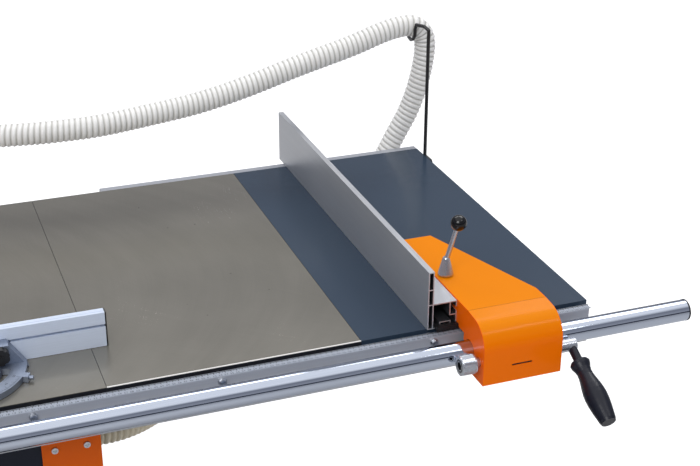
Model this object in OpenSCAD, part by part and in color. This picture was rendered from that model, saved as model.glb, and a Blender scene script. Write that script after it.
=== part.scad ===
// Sliding table saw with extension tables, rip fence on a round guide bar and dust hose.
// +X runs along the guide bar to the operator's right, +Y to the back, +Z up.
// The origin is on the floor, at the centre of the four floor bolts, in the blade's plane.

/* [Tables] */
// Height of the table tops above the floor
table_h = 850; // [830:1:880]
// Depth of the tables, front to back
table_d = 800; // [780:1:860]
// Width of the main table
main_w = 600; // [590:1:620]
// Distance from the blade to the main table's left edge
blade_to_left = 257; // [252:1:270]
// Width of the cast extension table
cast_w = 447; // [420:1:480]
// Width of the steel extension table
steel_w = 446; // [420:1:480]
// Thickness of the cast table plates
plate_t = 10; // [9:0.5:11]
// Depth of the table rims below the top
rim_d = 45; // [42:1:50]
// Thickness of the cast rims and ribs
rib_t = 12; // [8:1:14]
// Thickness of the steel table's sheet
steel_t = 3; // [2:0.5:4]
// Distance from the blade to each T-slot
slot_x = 120; // [118:1:124]
// Width of the T-slots at the top
slot_w = 19; // [17:0.5:20]
// Width of the table insert
insert_w = 90; // [86:1:94]
// Length of the table insert past the blade, both ends together
insert_over = 105; // [96:1:125]
// Thickness of the table insert
insert_t = 5; // [4:0.5:6]

/* [Cabinet] */
// Width of the cabinet
cab_w = 688; // [680:2:720]
// Depth of the cabinet
cab_d = 560; // [550:2:580]
// Thickness of the cabinet's sheet
sheet_t = 2; // [1.5:0.5:3]
// Width of the base rails
base_w = 60; // [50:1:70]
// Height of the base rails
base_h = 50; // [40:1:60]
// Floor bolt holes, side to side
floor_x = 516; // [506:2:526]
// Floor bolt holes, front to back
floor_y = 386; // [378:2:396]
// Radius of the floor bolt holes
floor_r = 6.5; // [5:0.5:8]
// Width of the corner plate
corner_w = 104; // [90:1:110]
// Height of the corner plate
corner_h = 410; // [390:2:430]

/* [Blade] */
// Diameter of the saw blade
blade_dia = 315; // [300:1:316]
// Thickness of the saw blade
blade_t = 3.2; // [2.4:0.2:3.6]
// Height of the raised blade above the table
blade_up = 100; // [90:1:102]
// Radius of the arbor
arbor_r = 15; // [14:0.5:16]
// Radius of the blade flanges
flange_r = 40; // [36:1:42]
// Width of the blade guard
guard_w = 30; // [26:1:32]
// Gap under the guard when the blade is up
guard_gap = 80; // [80:1:84]

/* [Motor] */
// Diameter of the motor
motor_dia = 140; // [130:1:144]
// Length of the motor
motor_l = 150; // [140:1:156]
// Distance from arbor to motor shaft
belt_centres = 170; // [168:1:176]
// Radius of the arbor pulley
arbor_pulley_r = 32; // [30:1:33]
// Radius of the motor pulley
motor_pulley_r = 50; // [46:1:52]

/* [Guide bar] */
// Diameter of the guide bar
bar_dia = 40; // [36:1:42]
// Distance from the table front to the bar's axis
bar_out = 62; // [60:1:66]
// Depth of the bar's axis below the table top
bar_drop = 21; // [21:0.5:26]
// Length of the bar past the right table edge
bar_over = 171; // [140:1:200]
// Height of the front rail
rail_h = 67; // [60:1:75]
// Thickness of the front rail, front to back
rail_w = 17; // [15:0.5:18]
// Gap between the front rail and the tables
rail_gap = 9; // [8:0.5:10]

/* [Rip fence] */
// Distance from the blade to the fence face
fence_x = 913.2; // [880:0.1:930]
// Height of the fence
fence_h = 113; // [105:1:120]
// Length of the fence
fence_l = 852; // [800:1:880]
// Width of the fence's low side
fence_w = 55.8; // [52:0.1:58]
// Height of the fence's low side
fence_low_h = 49.5; // [46:0.5:52]
// Width of the carriage cover
cover_w = 151.6; // [145:0.1:158]
// Length of the carriage cover over the table
cover_l = 253; // [240:1:265]
// Height of the cover's top above the table
cover_h = 52; // [51:0.5:56]

/* [Mitre gauge] */
// Length of the bar in the T-slot
mitre_bar_l = 400; // [380:2:430]
// Radius of the gauge's half disc
gauge_r = 111; // [100:1:112]
// Distance from the table front to the gauge's pivot
gauge_y = 116; // [114:1:130]
// Height of the gauge's fence
gauge_h = 65; // [60:1:70]
// Thickness of the gauge's fence
gauge_t = 17; // [15:0.5:19]
// Reach of the gauge's fence to the right of the pivot
gauge_reach = 251; // [230:1:252]

/* [Sliding table] */
// Width of the sliding table
slide_w = 318; // [300:1:330]
// Length of the beam it runs on
beam_l = 1500; // [1450:1:1600]
// Width of the beam
beam_w = 120; // [110:1:130]
// Height of the beam
beam_h = 110; // [100:1:120]
// Diameter of the beam's running rods
run_dia = 16; // [14:1:18]

/* [Dust hose] */
// Outer diameter of the hose
hose_dia = 50; // [48:0.5:50]
// Depth of the hose's ribs
rib_depth = 2; // [1:0.25:2.5]
// Number of ribs on the hose
hose_ribs = 200; // [160:4:200]
// Diameter of the hanger rod
hanger_dia = 8; // [7:0.5:9]

/* [Hidden] */
$fn = 48;

// Clearances
run = 0.05;   // radial clearance of a running fit
clear = 0.3;  // gap between pieces that move past each other
seam = 0.4;   // joint line between tables

// Tables
T = table_h;
front_y = -table_d / 2;
back_y = table_d / 2;
main_x0 = -blade_to_left;
main_x1 = main_x0 + main_w;
cast_x0 = main_x1 + seam;
cast_x1 = main_x1 + cast_w;
steel_x0 = cast_x1 + seam;
steel_x1 = cast_x1 + steel_w;
slot_deep = 10;
under_w = slot_w + 5;
under_deep = 4.5;
slot_rib_w = under_w + 20;
slot_rib_d = slot_deep + under_deep + 6;
insert_l = blade_dia + insert_over;
insert_y0 = 10 - insert_l / 2;
insert_ledge = 6;
beam_tube = 40;
rail_short = 9;
scale_short = 5;

// Cabinet
cab_x = cab_w / 2;
cab_y = cab_d / 2;
post = 24;
ring_t = 4;
base_wall = 4;
foot_t = 8;
foot = 50;
cab_top = T - rim_d;
rib_y = cab_y - 15;
panel_z0 = base_h;
frame_x = cab_x - sheet_t;
frame_y = cab_y - sheet_t;
plate_y = front_y + 120;
plate_z1 = cab_top - 25;
plate_z0 = plate_z1 - corner_h;
screw_zs = [plate_z1 - 110, plate_z0 + 40];
screw_xs = [cab_x - 25, cab_x - corner_w + 22.5];
tube_y = cab_y + 60;

// Tilting parts, measured from the pivot line on the table surface
cradle_y = cab_y - 60;
cradle_t = 12;
cradle_x0 = -130;
cradle_x1 = 10;
cradle_low = -430;
key_r0 = 150;
key_r1 = 170;
key_half = 25;
tilt_max = 45;
trunnion_t = 16;
trunnion_r = 195;
trunnion_y = cradle_y + cradle_t + 3;
sector_r = 262;
sector_root = 215;
worm_r = 10;
worm_y = -(cab_y - 36);
worm_z = -(sector_r + 0.5 + worm_r);
worm_shaft_r = 7;
column_x = -85;
column_y = cradle_y - 70;
column_r = 12.5;
lift_z = -300;
lift_r = 8;
lift_max = 60;
bevel_y = -100;
screw_x = -60;
screw_r = 10;

// Arbor and blade
arbor_z = blade_up - blade_dia / 2;
flange_t = 10;
pulley_x1 = -blade_t / 2 - flange_t - 2;
pulley_w = 30;
housing_x1 = pulley_x1 - pulley_w - 4;
housing_l = 100;
housing_r = 30;
motor_x1 = -62;
motor_z = arbor_z - belt_centres;
motor_shaft_r = 9.5;
belt_t = 4;
belt_w = 20;
knife_t = 2.5;
knife_r = blade_dia / 2 + 7;
knife_y = cradle_y - 25;
knife_zs = [-118, -130];
guard_z0 = guard_gap;
guard_z1 = 155;
guard_y0 = -170;
guard_y1 = 215;
port_z = 128;
port_y1 = 235;
hose_r = hose_dia / 2;
hose_bore = 18;

// Guide bar and fence carriage
bar_r = bar_dia / 2;
bar_y = front_y - bar_out;
bar_z = T - bar_drop;
bar_x0 = main_x0 + 20;
bar_x1 = steel_x1 + bar_over;
bar_wall = 5;
cap_t = 3;
rail_y1 = front_y - rail_gap;
rail_y0 = rail_y1 - rail_w;
rail_z1 = T - 3.6;
rail_z0 = rail_z1 - rail_h;
scale_t = 0.6;
bolt_z = T - 13;
bolt_xs = [main_x0 + 100, main_x1 - 124, cast_x0 + 188, steel_x0 + 127];
spacer_xs = [main_x0 + 60, main_x1 + 30, cast_x1 - 100, steel_x1 - 60];
spacer_r = 5;
spacer_z = bar_z - 4;
cover_x0 = fence_x + fence_w + seam;
cover_x1 = cover_x0 + cover_w;
cover_t = 2;
cover_r = 48;
cover_fall = 2;
cover_y0 = front_y - 120;
cover_crease = front_y - 49;
cover_low = -61;
lever_x = cover_x0 + 19.6;
lever_y = front_y + 90;
shaft_y = front_y - 100;
shaft_z = T - 24;
shaft_r = 8;
hub_r = 11.5;
hub_l = 36.5;
handle_x = cover_x1 + 28.5;
handle_dip = 27;
key_y0 = front_y + 20;
key_y1 = front_y + 160;
key_z = 34.5;
key_neck = 3.5;
key_head = 7.5;
key_gap = 0.5;

// Mitre gauge
pivot_y = front_y + gauge_y;
gauge_face = pivot_y + 19;
gauge_x0 = slot_x - 80;
gauge_x1 = slot_x + gauge_reach;

// Sliding table
slide_l = table_d;
slide_x1 = main_x0 - 5;
slide_x0 = slide_x1 - slide_w;
beam_x1 = -cab_x;
beam_x0 = beam_x1 - beam_w;
beam_z1 = T - 42;
run_r = run_dia / 2;

// Hose route, from the guard over the hanger and back to the cabinet
hose_route = [[0, 235, 978], [0, 250, 978], [0, 266, 978], [6, 307, 979], [23, 347, 981],
  [50, 382, 983], [85, 409, 986], [126, 426, 989], [170, 432, 992], [215, 431, 995], [262, 423, 998],
  [312, 409, 1001], [365, 396, 1003], [420, 388, 1005], [498, 384, 1008],
  [608, 394, 1015], [722, 404, 1026], [836, 411, 1049], [955, 418, 1080], [1077, 426, 1108],
  [1156, 431, 1131], [1200, 433, 1139], [1232, 434, 1138], [1254, 435, 1122],
  [1264, 436, 1095], [1262, 439, 1045], [1250, 443, 985], [1230, 448, 925], [1203, 452, 872],
  [1175, 456, 815], [1145, 458, 750], [1095, 456, 665], [1030, 440, 585], [945, 408, 520],
  [845, 360, 474], [740, 298, 450], [650, 232, 441], [582, 178, 438.5], [530, 136, 441],
  [487, 104, 445], [449, 86, 447.5], [416, 80, 448], [395, 80, 448], [374, 80, 448]];
port_y = 80;
port_h = 448;

module block(x0, x1, y0, y1, z0, z1) {
  translate([min(x0, x1), min(y0, y1), min(z0, z1)])
    cube([abs(x1 - x0), abs(y1 - y0), abs(z1 - z0)]);
}

module rod_x(x0, x1, y, z, r) {
  translate([x0, y, z]) rotate([0, 90, 0]) cylinder(r = r, h = x1 - x0);
}

module rod_y(x, y0, y1, z, r) {
  translate([x, y0, z]) rotate([-90, 0, 0]) cylinder(r = r, h = y1 - y0);
}

module rod_z(x, y, z0, z1, r) {
  translate([x, y, z0]) cylinder(r = r, h = z1 - z0);
}

// Extrudes a profile drawn in Y and Z along X
module along_x(x0, x1) {
  translate([x0, 0, 0]) rotate([90, 0, 90]) linear_extrude(x1 - x0) children();
}

// Extrudes a profile drawn in X and Z along Y
module along_y(y0, y1) {
  translate([0, y1, 0]) rotate([90, 0, 0]) linear_extrude(y1 - y0) children();
}

module rect(x0, x1, y0, y1) {
  translate([x0, y0]) square([x1 - x0, y1 - y0]);
}

// Ring segment about the origin, its angles measured from straight down towards +X
function down(a, r) = [r * sin(a), -r * cos(a)];

module ring_segment(r0, r1, a0, a1) {
  reach = 2 * r1;
  intersection() {
    difference() {
      circle(r = r1, $fn = 96);
      circle(r = r0, $fn = 96);
    }
    polygon([[0, 0], down(a0, reach), down((a0 * 2 + a1) / 3, reach),
      down((a0 + a1 * 2) / 3, reach), down(a1, reach)]);
  }
}

// A rimmed table top with its underside open
module rimmed_plate(x0, x1, top_t, wall) {
  difference() {
    block(x0, x1, front_y, back_y, T - rim_d, T);
    block(x0 + wall, x1 - wall, front_y + wall, back_y - wall, T - rim_d - 1, T - top_t);
  }
}

module bolt_holes() {
  for (x = bolt_xs) rod_y(x, front_y - 30, front_y + 40, bolt_z, 5 + clear);
}

// Cabinet
module base_frame() {
  color([0.16, 0.18, 0.2]) {
    difference() {
      union() {
        difference() {
          block(-frame_x, frame_x, -frame_y, frame_y, 0, base_h);
          block(-frame_x + base_w, frame_x - base_w, -frame_y + base_w, frame_y - base_w, -1,
            base_h + 1);
          difference() {
            block(-frame_x + base_wall, frame_x - base_wall, -frame_y + base_wall,
              frame_y - base_wall, base_wall, base_h - base_wall);
            block(-frame_x + base_w - base_wall, frame_x - base_w + base_wall,
              -frame_y + base_w - base_wall, frame_y - base_w + base_wall, 0, base_h);
          }
        }
        for (sx = [-1, 1], sy = [-1, 1])
          block(sx * (frame_x - 1), sx * (frame_x - base_w - foot), sy * (frame_y - 1),
            sy * (frame_y - base_w - foot), 0, foot_t);
      }
      for (sx = [-1, 1], sy = [-1, 1])
        rod_z(sx * floor_x / 2, sy * floor_y / 2, -1, foot_t + 1, floor_r);
    }
    for (sx = [-1, 1], sy = [-1, 1]) difference() {
      block(sx * frame_x, sx * (frame_x - post), sy * frame_y, sy * (frame_y - post),
        base_h - 1, cab_top);
      block(sx * (frame_x - 4), sx * (frame_x - post - 1), sy * (frame_y - 4),
        sy * (frame_y - post - 1), base_h, cab_top - ring_t);
    }
    difference() {
      block(-frame_x, frame_x, -frame_y, frame_y, cab_top - ring_t, cab_top);
      block(-frame_x + 40, frame_x - 40, -frame_y + 18, frame_y - 18, cab_top - ring_t - 1,
        cab_top + 1);
    }
  }
}

module front_panel() {
  arc = norm([screw_x, lift_z]);
  start = atan2(screw_x, -lift_z);
  color([0.13, 0.15, 0.18]) difference() {
    block(-cab_x, cab_x, -cab_y, -frame_y, panel_z0, cab_top);
    translate([0, 0, T]) along_y(-cab_y - 1, -frame_y + 1)
      ring_segment(arc - lift_r - 4, arc + lift_r + 4, start - 2.5, start + tilt_max + 2.5);
  }
}

module rear_panel() {
  color([0.13, 0.15, 0.18]) difference() {
    block(-cab_x, cab_x, frame_y, cab_y, panel_z0, cab_top);
    rod_y(0, frame_y - 1, cab_y + 1, chute_z, chute_r + clear);
    for (i = [0:7]) block(-260, -120, frame_y - 1, cab_y + 1, T - 380 + 18 * i, T - 372 + 18 * i);
  }
}

module left_panel() {
  color([0.13, 0.15, 0.18]) difference() {
    block(-cab_x, -frame_x, -frame_y, frame_y, panel_z0, cab_top);
    rod_x(-cab_x - 1, -frame_x + 1, worm_y, T + worm_z, worm_shaft_r + run);
    for (i = [0:5]) block(-cab_x - 1, -frame_x + 1, 40, 180, 180 + 18 * i, 188 + 18 * i);
  }
}

module right_panel() {
  color([0.13, 0.15, 0.18]) difference() {
    block(frame_x, cab_x, -frame_y, frame_y, panel_z0, cab_top);
    rod_x(frame_x - 1, cab_x + 1, port_y, port_h, hose_r + clear);
  }
}

module corner_plate() {
  color([0.86, 0.36, 0.08]) difference() {
    block(cab_x - corner_w, cab_x, -cab_y - 3, -cab_y, plate_z0, plate_z1);
    for (z = screw_zs, x = screw_xs)
      rod_y(x, -cab_y - 4, -cab_y + 1, z, 3 + clear);
  }
}

// Rail bolts with washers, and pan head screws of the corner plate
module screws() {
  color([0.75, 0.76, 0.78]) {
    for (x = bolt_xs) {
      rod_y(x, rail_y0 - 2, rail_y0, bolt_z, 7.5);
      translate([x, rail_y0 - 7.4, bolt_z]) rotate([-90, 30, 0]) cylinder(r = 6.6, h = 5.5, $fn = 6);
      rod_y(x, rail_y0 - 2, front_y + rib_t - 1, bolt_z, 5);
    }
    for (z = screw_zs, x = screw_xs)
      difference() {
        union() {
          rod_y(x, -cab_y - 5.6, -cab_y - 3, z, 6);
          rod_y(x, -cab_y - 3, -cab_y, z, 3);
        }
        block(x - 3.5, x + 3.5, -cab_y - 6, -cab_y - 4.4, z - 0.7, z + 0.7);
        block(x - 0.7, x + 0.7, -cab_y - 6, -cab_y - 4.4, z - 3.5, z + 3.5);
      }
  }
}

// Tables
module t_slot(x) {
  block(x - slot_w / 2, x + slot_w / 2, front_y - 1, back_y + 1, T - slot_deep, T + 1);
  block(x - under_w / 2, x + under_w / 2, front_y - 1, back_y + 1,
    T - slot_deep - under_deep, T - slot_deep + 0.01);
}

module main_table() {
  color([0.5, 0.49, 0.47]) difference() {
    union() {
      rimmed_plate(main_x0, main_x1, plate_t, rib_t);
      for (s = [-1, 1]) {
        block(s * slot_x - slot_rib_w / 2, s * slot_x + slot_rib_w / 2, front_y, back_y,
          T - slot_rib_d, T - 1);
        block(main_x0 + 1, main_x1 - 1, s * rib_y - rib_t / 2, s * rib_y + rib_t / 2,
          T - rim_d, T - 1);
      }
    }
    for (s = [-1, 1]) t_slot(s * slot_x);
    block(-insert_w / 2, insert_w / 2, insert_y0, insert_y0 + insert_l, T - insert_t, T + 1);
    block(-insert_w / 2 + insert_ledge, insert_w / 2 - insert_ledge, insert_y0 + insert_ledge,
      insert_y0 + insert_l - insert_ledge, T - plate_t - 1, T + 1);
    bolt_holes();
  }
}

module table_insert() {
  color([0.7, 0.71, 0.73]) difference() {
    block(-insert_w / 2 + clear, insert_w / 2 - clear, insert_y0 + clear,
      insert_y0 + insert_l - clear, T - insert_t, T);
    block(-5, insert_t + 5, -blade_dia / 2 - 8, knife_r + 43, T - insert_t - 1, T + 1);
    for (sx = [-1, 1], y = [insert_y0 + 10, insert_y0 + insert_l - 10])
      rod_z(sx * (insert_w / 2 - 8), y, T - 2, T + 1, 3);
  }
}

module cast_extension() {
  color([0.5, 0.49, 0.47]) difference() {
    union() {
      rimmed_plate(cast_x0, cast_x1, plate_t, rib_t);
      for (s = [-1, 1])
        block(cast_x0 + 1, cast_x1 - 1, s * table_d / 6 - rib_t / 2, s * table_d / 6 + rib_t / 2,
          T - rim_d, T - 1);
    }
    bolt_holes();
  }
}

module steel_extension() {
  color([0.3, 0.36, 0.42]) difference() {
    union() {
      rimmed_plate(steel_x0, steel_x1, steel_t, steel_t);
      for (s = [-1, 1])
        block(steel_x0 + 1, steel_x1 - 1, s * table_d / 6 - 20, s * table_d / 6 + 20,
          T - rim_d, T - 1);
    }
    for (s = [-1, 1])
      block(steel_x0 + steel_t, steel_x1 - steel_t, s * table_d / 6 - 20 + steel_t,
        s * table_d / 6 + 20 - steel_t, T - rim_d + steel_t, T - steel_t);
    bolt_holes();
  }
}

module support_beams() {
  color([0.14, 0.15, 0.17]) for (s = [-1, 1]) difference() {
    block(main_x1 - 90, steel_x1 - 60, s * tube_y - beam_tube / 2, s * tube_y + beam_tube / 2,
      T - rim_d - beam_tube, T - rim_d);
    block(main_x1 - 91, steel_x1 - 59, s * tube_y - beam_tube / 2 + 3,
      s * tube_y + beam_tube / 2 - 3, T - rim_d - beam_tube + 3, T - rim_d - 3);
  }
}

// Front rail, guide bar and rear rail
module front_rail() {
  color([0.72, 0.73, 0.75]) difference() {
    along_x(main_x0, steel_x1 - rail_short) difference() {
      union() {
        rect(rail_y0, rail_y1, rail_z0, rail_z1);
        rect(rail_y1 - 1, front_y, T - 40, T - 22);
      }
      rect(rail_y0 + 2.5, rail_y1 - 2.5, rail_z0 + 2.5, rail_z0 + rail_h / 2 - 1);
      rect(rail_y0 + 2.5, rail_y1 - 2.5, rail_z0 + rail_h / 2 + 1, rail_z1 - 2.5);
      rect(rail_y1, front_y - 2, T - 38, T - 24);
    }
    bolt_holes();
  }
}

module rail_scale() {
  color([0.82, 0.84, 0.86])
    block(main_x0, steel_x1 - scale_short, rail_y0 + 0.8, rail_y1 - 0.6, rail_z1,
      rail_z1 + scale_t);
}

module guide_bar() {
  color([0.8, 0.81, 0.83]) difference() {
    rod_x(bar_x0, bar_x1, bar_y, bar_z, bar_r, $fn = 64);
    rod_x(bar_x0 - 1, bar_x1 + 1, bar_y, bar_z, bar_r - bar_wall, $fn = 64);
  }
}

module bar_end_caps() {
  color([0.08, 0.08, 0.09]) for (x = [bar_x0 - cap_t, bar_x1])
    rod_x(x, x + cap_t, bar_y, bar_z, bar_r + 0.3);
}

module bar_spacers() {
  color([0.6, 0.61, 0.63]) for (x = spacer_xs) difference() {
    rod_y(x, bar_y, rail_y0, spacer_z, spacer_r);
    rod_x(x - 20, x + 20, bar_y, bar_z, bar_r, $fn = 64);
  }
}

module rear_rail() {
  color([0.72, 0.73, 0.75]) along_x(cast_x0 + 148, steel_x1) difference() {
    rect(back_y, back_y + 18, T - 38, T - 0.5);
    rect(back_y + 2.5, back_y + 15.5, T - 35.5, T - 3);
  }
}

// Hose hanger
hanger_x = steel_x1 + hanger_dia / 2 + 0.5;
hanger_y = back_y - 37;
hanger_top = T + 296;
hook_route = [[hanger_x, hanger_y, hanger_top], [hanger_x - 7, back_y - 28, T + 303],
  [hanger_x - 16, back_y - 4, T + 301], [hanger_x - 17, back_y, T + 290],
  [hanger_x - 17, back_y + 1, T + 274], [hanger_x - 18, back_y + 8, T + 265],
  [hanger_x - 18, back_y + 20, T + 260], [hanger_x - 14, back_y + 40, T + 258.5],
  [hanger_x - 12, back_y + 50, T + 260]];

module hose_hanger() {
  r = hanger_dia / 2;
  last = len(hook_route) - 1;
  color([0.09, 0.09, 0.1]) {
    rod_z(hanger_x, hanger_y, T - 70, hanger_top, r);
    for (i = [0:last - 1]) {
      a = hook_route[i];
      d = hook_route[i + 1] - a;
      translate(a) sphere(r = r + 0.06);
      translate(a) rotate([0, acos(d[2] / norm(d)), atan2(d[1], d[0])])
        cylinder(r = r, h = norm(d));
    }
    translate(hook_route[last]) sphere(r = r + 0.06);
  }
}

module hanger_clamp() {
  color([0.12, 0.12, 0.13]) {
    difference() {
      block(steel_x1, steel_x1 + hanger_dia + 8, hanger_y - 16, hanger_y + 16, T - 60, T - 10);
      rod_z(hanger_x, hanger_y, T - 61, T - 9, hanger_dia / 2);
    }
    rod_x(steel_x1 + hanger_dia + 8, steel_x1 + hanger_dia + 14, hanger_y, T - 22, 6);
  }
}

// Ribbed hose: a smooth curve through the route, cut into rings at even steps
function spline(p, i, t) =
  let (n = len(p) - 1, b = p[i], c = p[i + 1],
    a = i == 0 ? 2 * b - c : p[i - 1], d = i + 1 == n ? 2 * c - b : p[i + 2])
  0.5 * (2 * b + (c - a) * t + (2 * a - 5 * b + 4 * c - d) * t * t
    + (3 * b - a - 3 * c + d) * t * t * t);
function curve(p, steps) = [for (i = [0:len(p) - 2], k = [0:steps - 1]) spline(p, i, k / steps),
  p[len(p) - 1]];
function running(p, i = 1, done = [0]) =
  i == len(p) ? done : running(p, i + 1, concat(done, [done[i - 1] + norm(p[i] - p[i - 1])]));
function find_at(s, v, lo, hi) = hi - lo <= 1 ? lo :
  let (mid = floor((lo + hi) / 2)) s[mid] <= v ? find_at(s, v, mid, hi) : find_at(s, v, lo, mid);
function unit(v) = v / norm(v);
function along(p, s, v) =
  let (i = find_at(s, v, 0, len(s) - 1), f = (v - s[i]) / (s[i + 1] - s[i]))
  p[i] + f * (p[i + 1] - p[i]);
function headings(q) = let (n = len(q) - 1)
  [for (i = [0:n]) unit(q[min(i + 1, n)] - q[max(i - 1, 0)])];
// Carries a side direction along the curve without twist
function sides(h, i = 1, done = [[1, 0, 0]]) =
  i == len(h) ? done :
  let (v = done[i - 1], w = v - (v * h[i]) * h[i]) sides(h, i + 1, concat(done, [unit(w)]));

// Least distance between points of the curve that lie further apart along it
function least_gap(q, apart) = min([for (i = [0:len(q) - 1 - apart], j = [i + apart:len(q) - 1])
  norm(q[j] - q[i])]);

module dust_hose() {
  facets = 8;
  fine = curve(hose_route, 10);
  s = running(fine);
  total = s[len(s) - 1];
  n = 2 * hose_ribs;
  q = [for (i = [0:n]) along(fine, s, total * i / n)];
  h = headings(q);
  side = sides(h);
  outer = [for (i = [0:n], k = [0:facets - 1])
    let (r = i % 2 == 0 ? hose_r - rib_depth : hose_r, a = 360 * k / facets,
      w = cross(h[i], side[i]))
    q[i] + r * (cos(a) * side[i] + sin(a) * w)];
  inner = [for (i = [0:4:n], k = [0:facets - 1])
    let (a = 360 * k / facets, w = cross(h[i], side[i]))
    q[i] + hose_bore * (cos(a) * side[i] + sin(a) * w)];
  m = n / 4;
  base = len(outer);
  skin = [for (i = [0:n - 1], k = [0:facets - 1])
    let (a = i * facets + k, b = i * facets + (k + 1) % facets)
    each [[a, b, b + facets], [a, b + facets, a + facets]]];
  bore = [for (i = [0:m - 1], k = [0:facets - 1])
    let (a = base + i * facets + k, b = base + i * facets + (k + 1) % facets)
    each [[b, a, a + facets], [b, a + facets, b + facets]]];
  ends = [for (k = [0:facets - 1])
    let (j = (k + 1) % facets, o = n * facets, e = base + m * facets)
    each [[k, base + k, base + j], [k, base + j, j],
      [o + j, e + j, e + k], [o + j, e + k, o + k]]];
  apart = ceil(4 * hose_dia / (total / n));
  echo(hose_length = total, least_gap = least_gap(q, apart) - hose_dia);
  color([0.86, 0.86, 0.84]) polyhedron(concat(outer, inner), concat(skin, bore, ends));
}

module dust_port() {
  elbow = 45;
  color([0.1, 0.1, 0.11]) difference() {
    union() {
      rod_x(frame_x - 20, cab_x + 30, port_y, port_h, hose_r);
      rod_x(cab_x, cab_x + 5, port_y, port_h, hose_r + 14);
      rod_x(frame_x - elbow - hose_r, frame_x - 19, port_y, port_h, hose_r);
      rod_z(frame_x - elbow, port_y, chute_top - 20, port_h + 1, hose_r);
    }
    rod_x(frame_x - elbow - hose_r + 4, cab_x + 31, port_y, port_h, hose_r - 4);
    rod_z(frame_x - elbow, port_y, chute_top - 21, port_h, hose_r - 4);
    for (a = [45, 135, 225, 315])
      rod_x(cab_x - 1, cab_x + 6, port_y + (hose_r + 9) * cos(a), port_h + (hose_r + 9) * sin(a), 2.5);
  }
}

// Dust chute under the blade, with the outlet at the back
chute_r = 50;
chute_z = 200;
chute_top = 370;
outlet_gap = 2;
outlet_neck = 0.8;

module dust_chute() {
  x0 = -240;
  x1 = frame_x - 2;
  y0 = -frame_y + 40;
  y1 = frame_y - 40;
  color([0.3, 0.32, 0.34]) difference() {
    union() {
      along_x(x0, x1) polygon([[y0, chute_top], [y1, chute_top], [y1, chute_z - 60],
        [y1 - 120, chute_z - 60], [y0, chute_top - 60]]);
      rod_y(0, y1 - 1, frame_y, chute_z, chute_r + 3);
      rod_y(0, frame_y - 1, cab_y + outlet_gap + 1, chute_z, chute_r - outlet_neck);
      rod_y(0, cab_y + outlet_gap, cab_y + 60, chute_z, chute_r);
    }
    along_x(x0 + 2, x1 - 2) polygon([[y0 + 2, chute_top + 1], [y1 - 2, chute_top + 1],
      [y1 - 2, chute_z - 58], [y1 - 119, chute_z - 58], [y0 + 2, chute_top - 59]]);
    rod_y(0, y1 - 3, cab_y + 61, chute_z, chute_r - 2);
    rod_z(frame_x - 45, port_y, chute_top - 22, chute_top + 1, hose_r + clear);
  }
  color([0.3, 0.32, 0.34]) for (x = [x0 + 60, x1 - 120])
    block(x, x + 30, frame_y - 41, frame_y, chute_top - 30, chute_top - 27);
}

// Switch and mains inlet
switch_x = -270;
switch_z = T - 240;
switch_y = -cab_y - 60;
start_z = switch_z + 32;
stop_z = switch_z - 26;
start_travel = 4;
stop_travel = 5;

module switch_box() {
  color([0.16, 0.17, 0.18]) difference() {
    block(switch_x - 42, switch_x + 42, switch_y, -cab_y, switch_z - 70, switch_z + 70);
    block(switch_x - 39, switch_x + 39, switch_y + 3, -cab_y - 3, switch_z - 67, switch_z + 67);
    rod_y(switch_x, switch_y - 1, switch_y + 4, start_z, 11 + clear);
    rod_y(switch_x, switch_y - 1, switch_y + 4, stop_z, 11 + clear);
  }
}

module start_button() {
  color([0.12, 0.5, 0.2]) {
    rod_y(switch_x, switch_y - start_travel - 1, switch_y + 8, start_z, 11);
    rod_y(switch_x, switch_y + 8, -cab_y - 9, start_z, 5);
  }
}

module stop_button() {
  color([0.8, 0.1, 0.08]) {
    rod_y(switch_x, switch_y - stop_travel - 2, switch_y + 8, stop_z, 11);
    translate([switch_x, switch_y - stop_travel - 14, stop_z]) rotate([-90, 0, 0])
      cylinder(r1 = 17, r2 = 20, h = 12);
    rod_y(switch_x, switch_y + 8, -cab_y - 9, stop_z, 5);
  }
}

module mains_inlet() {
  color([0.1, 0.1, 0.11]) difference() {
    union() {
      rod_y(-250, cab_y, cab_y + 6, T - 470, 30);
      rod_y(-250, cab_y + 5, cab_y + 45, T - 470, 22);
    }
    rod_y(-250, cab_y + 12, cab_y + 46, T - 470, 18);
  }
  color([0.75, 0.72, 0.55]) for (a = [0, 90, 180, 270])
    rod_y(-250 + 9 * cos(a), cab_y + 11, cab_y + 35, T - 470 + 9 * sin(a), 2.5);
}

// Tilt trunnions under the main table
module trunnions() {
  color([0.35, 0.36, 0.38]) for (s = [-1, 1]) {
    y0 = s > 0 ? trunnion_y : -trunnion_y - trunnion_t;
    difference() {
      union() {
        translate([0, 0, T]) along_y(y0, y0 + trunnion_t) difference() {
          circle(r = trunnion_r, $fn = 96);
          rect(-300, 300, -plate_t, 300);
          ring_segment(key_r0 - clear, key_r1 + clear, -key_half - 3, key_half + tilt_max + 3);
        }
      }
      for (t = [-1, 1])
        block(t * slot_x - slot_rib_w / 2, t * slot_x + slot_rib_w / 2, y0 - 1,
          y0 + trunnion_t + 1, T - slot_rib_d, T);
    }
  }
}

module tilt_bearings() {
  color([0.35, 0.36, 0.38]) for (x = [-70, 55]) difference() {
    block(x, x + 15, -frame_y, worm_y + 10, T + worm_z - 14, T + worm_z + worm_r);
    rod_x(x - 1, x + 16, worm_y, T + worm_z, worm_shaft_r + run);
  }
}

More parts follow.
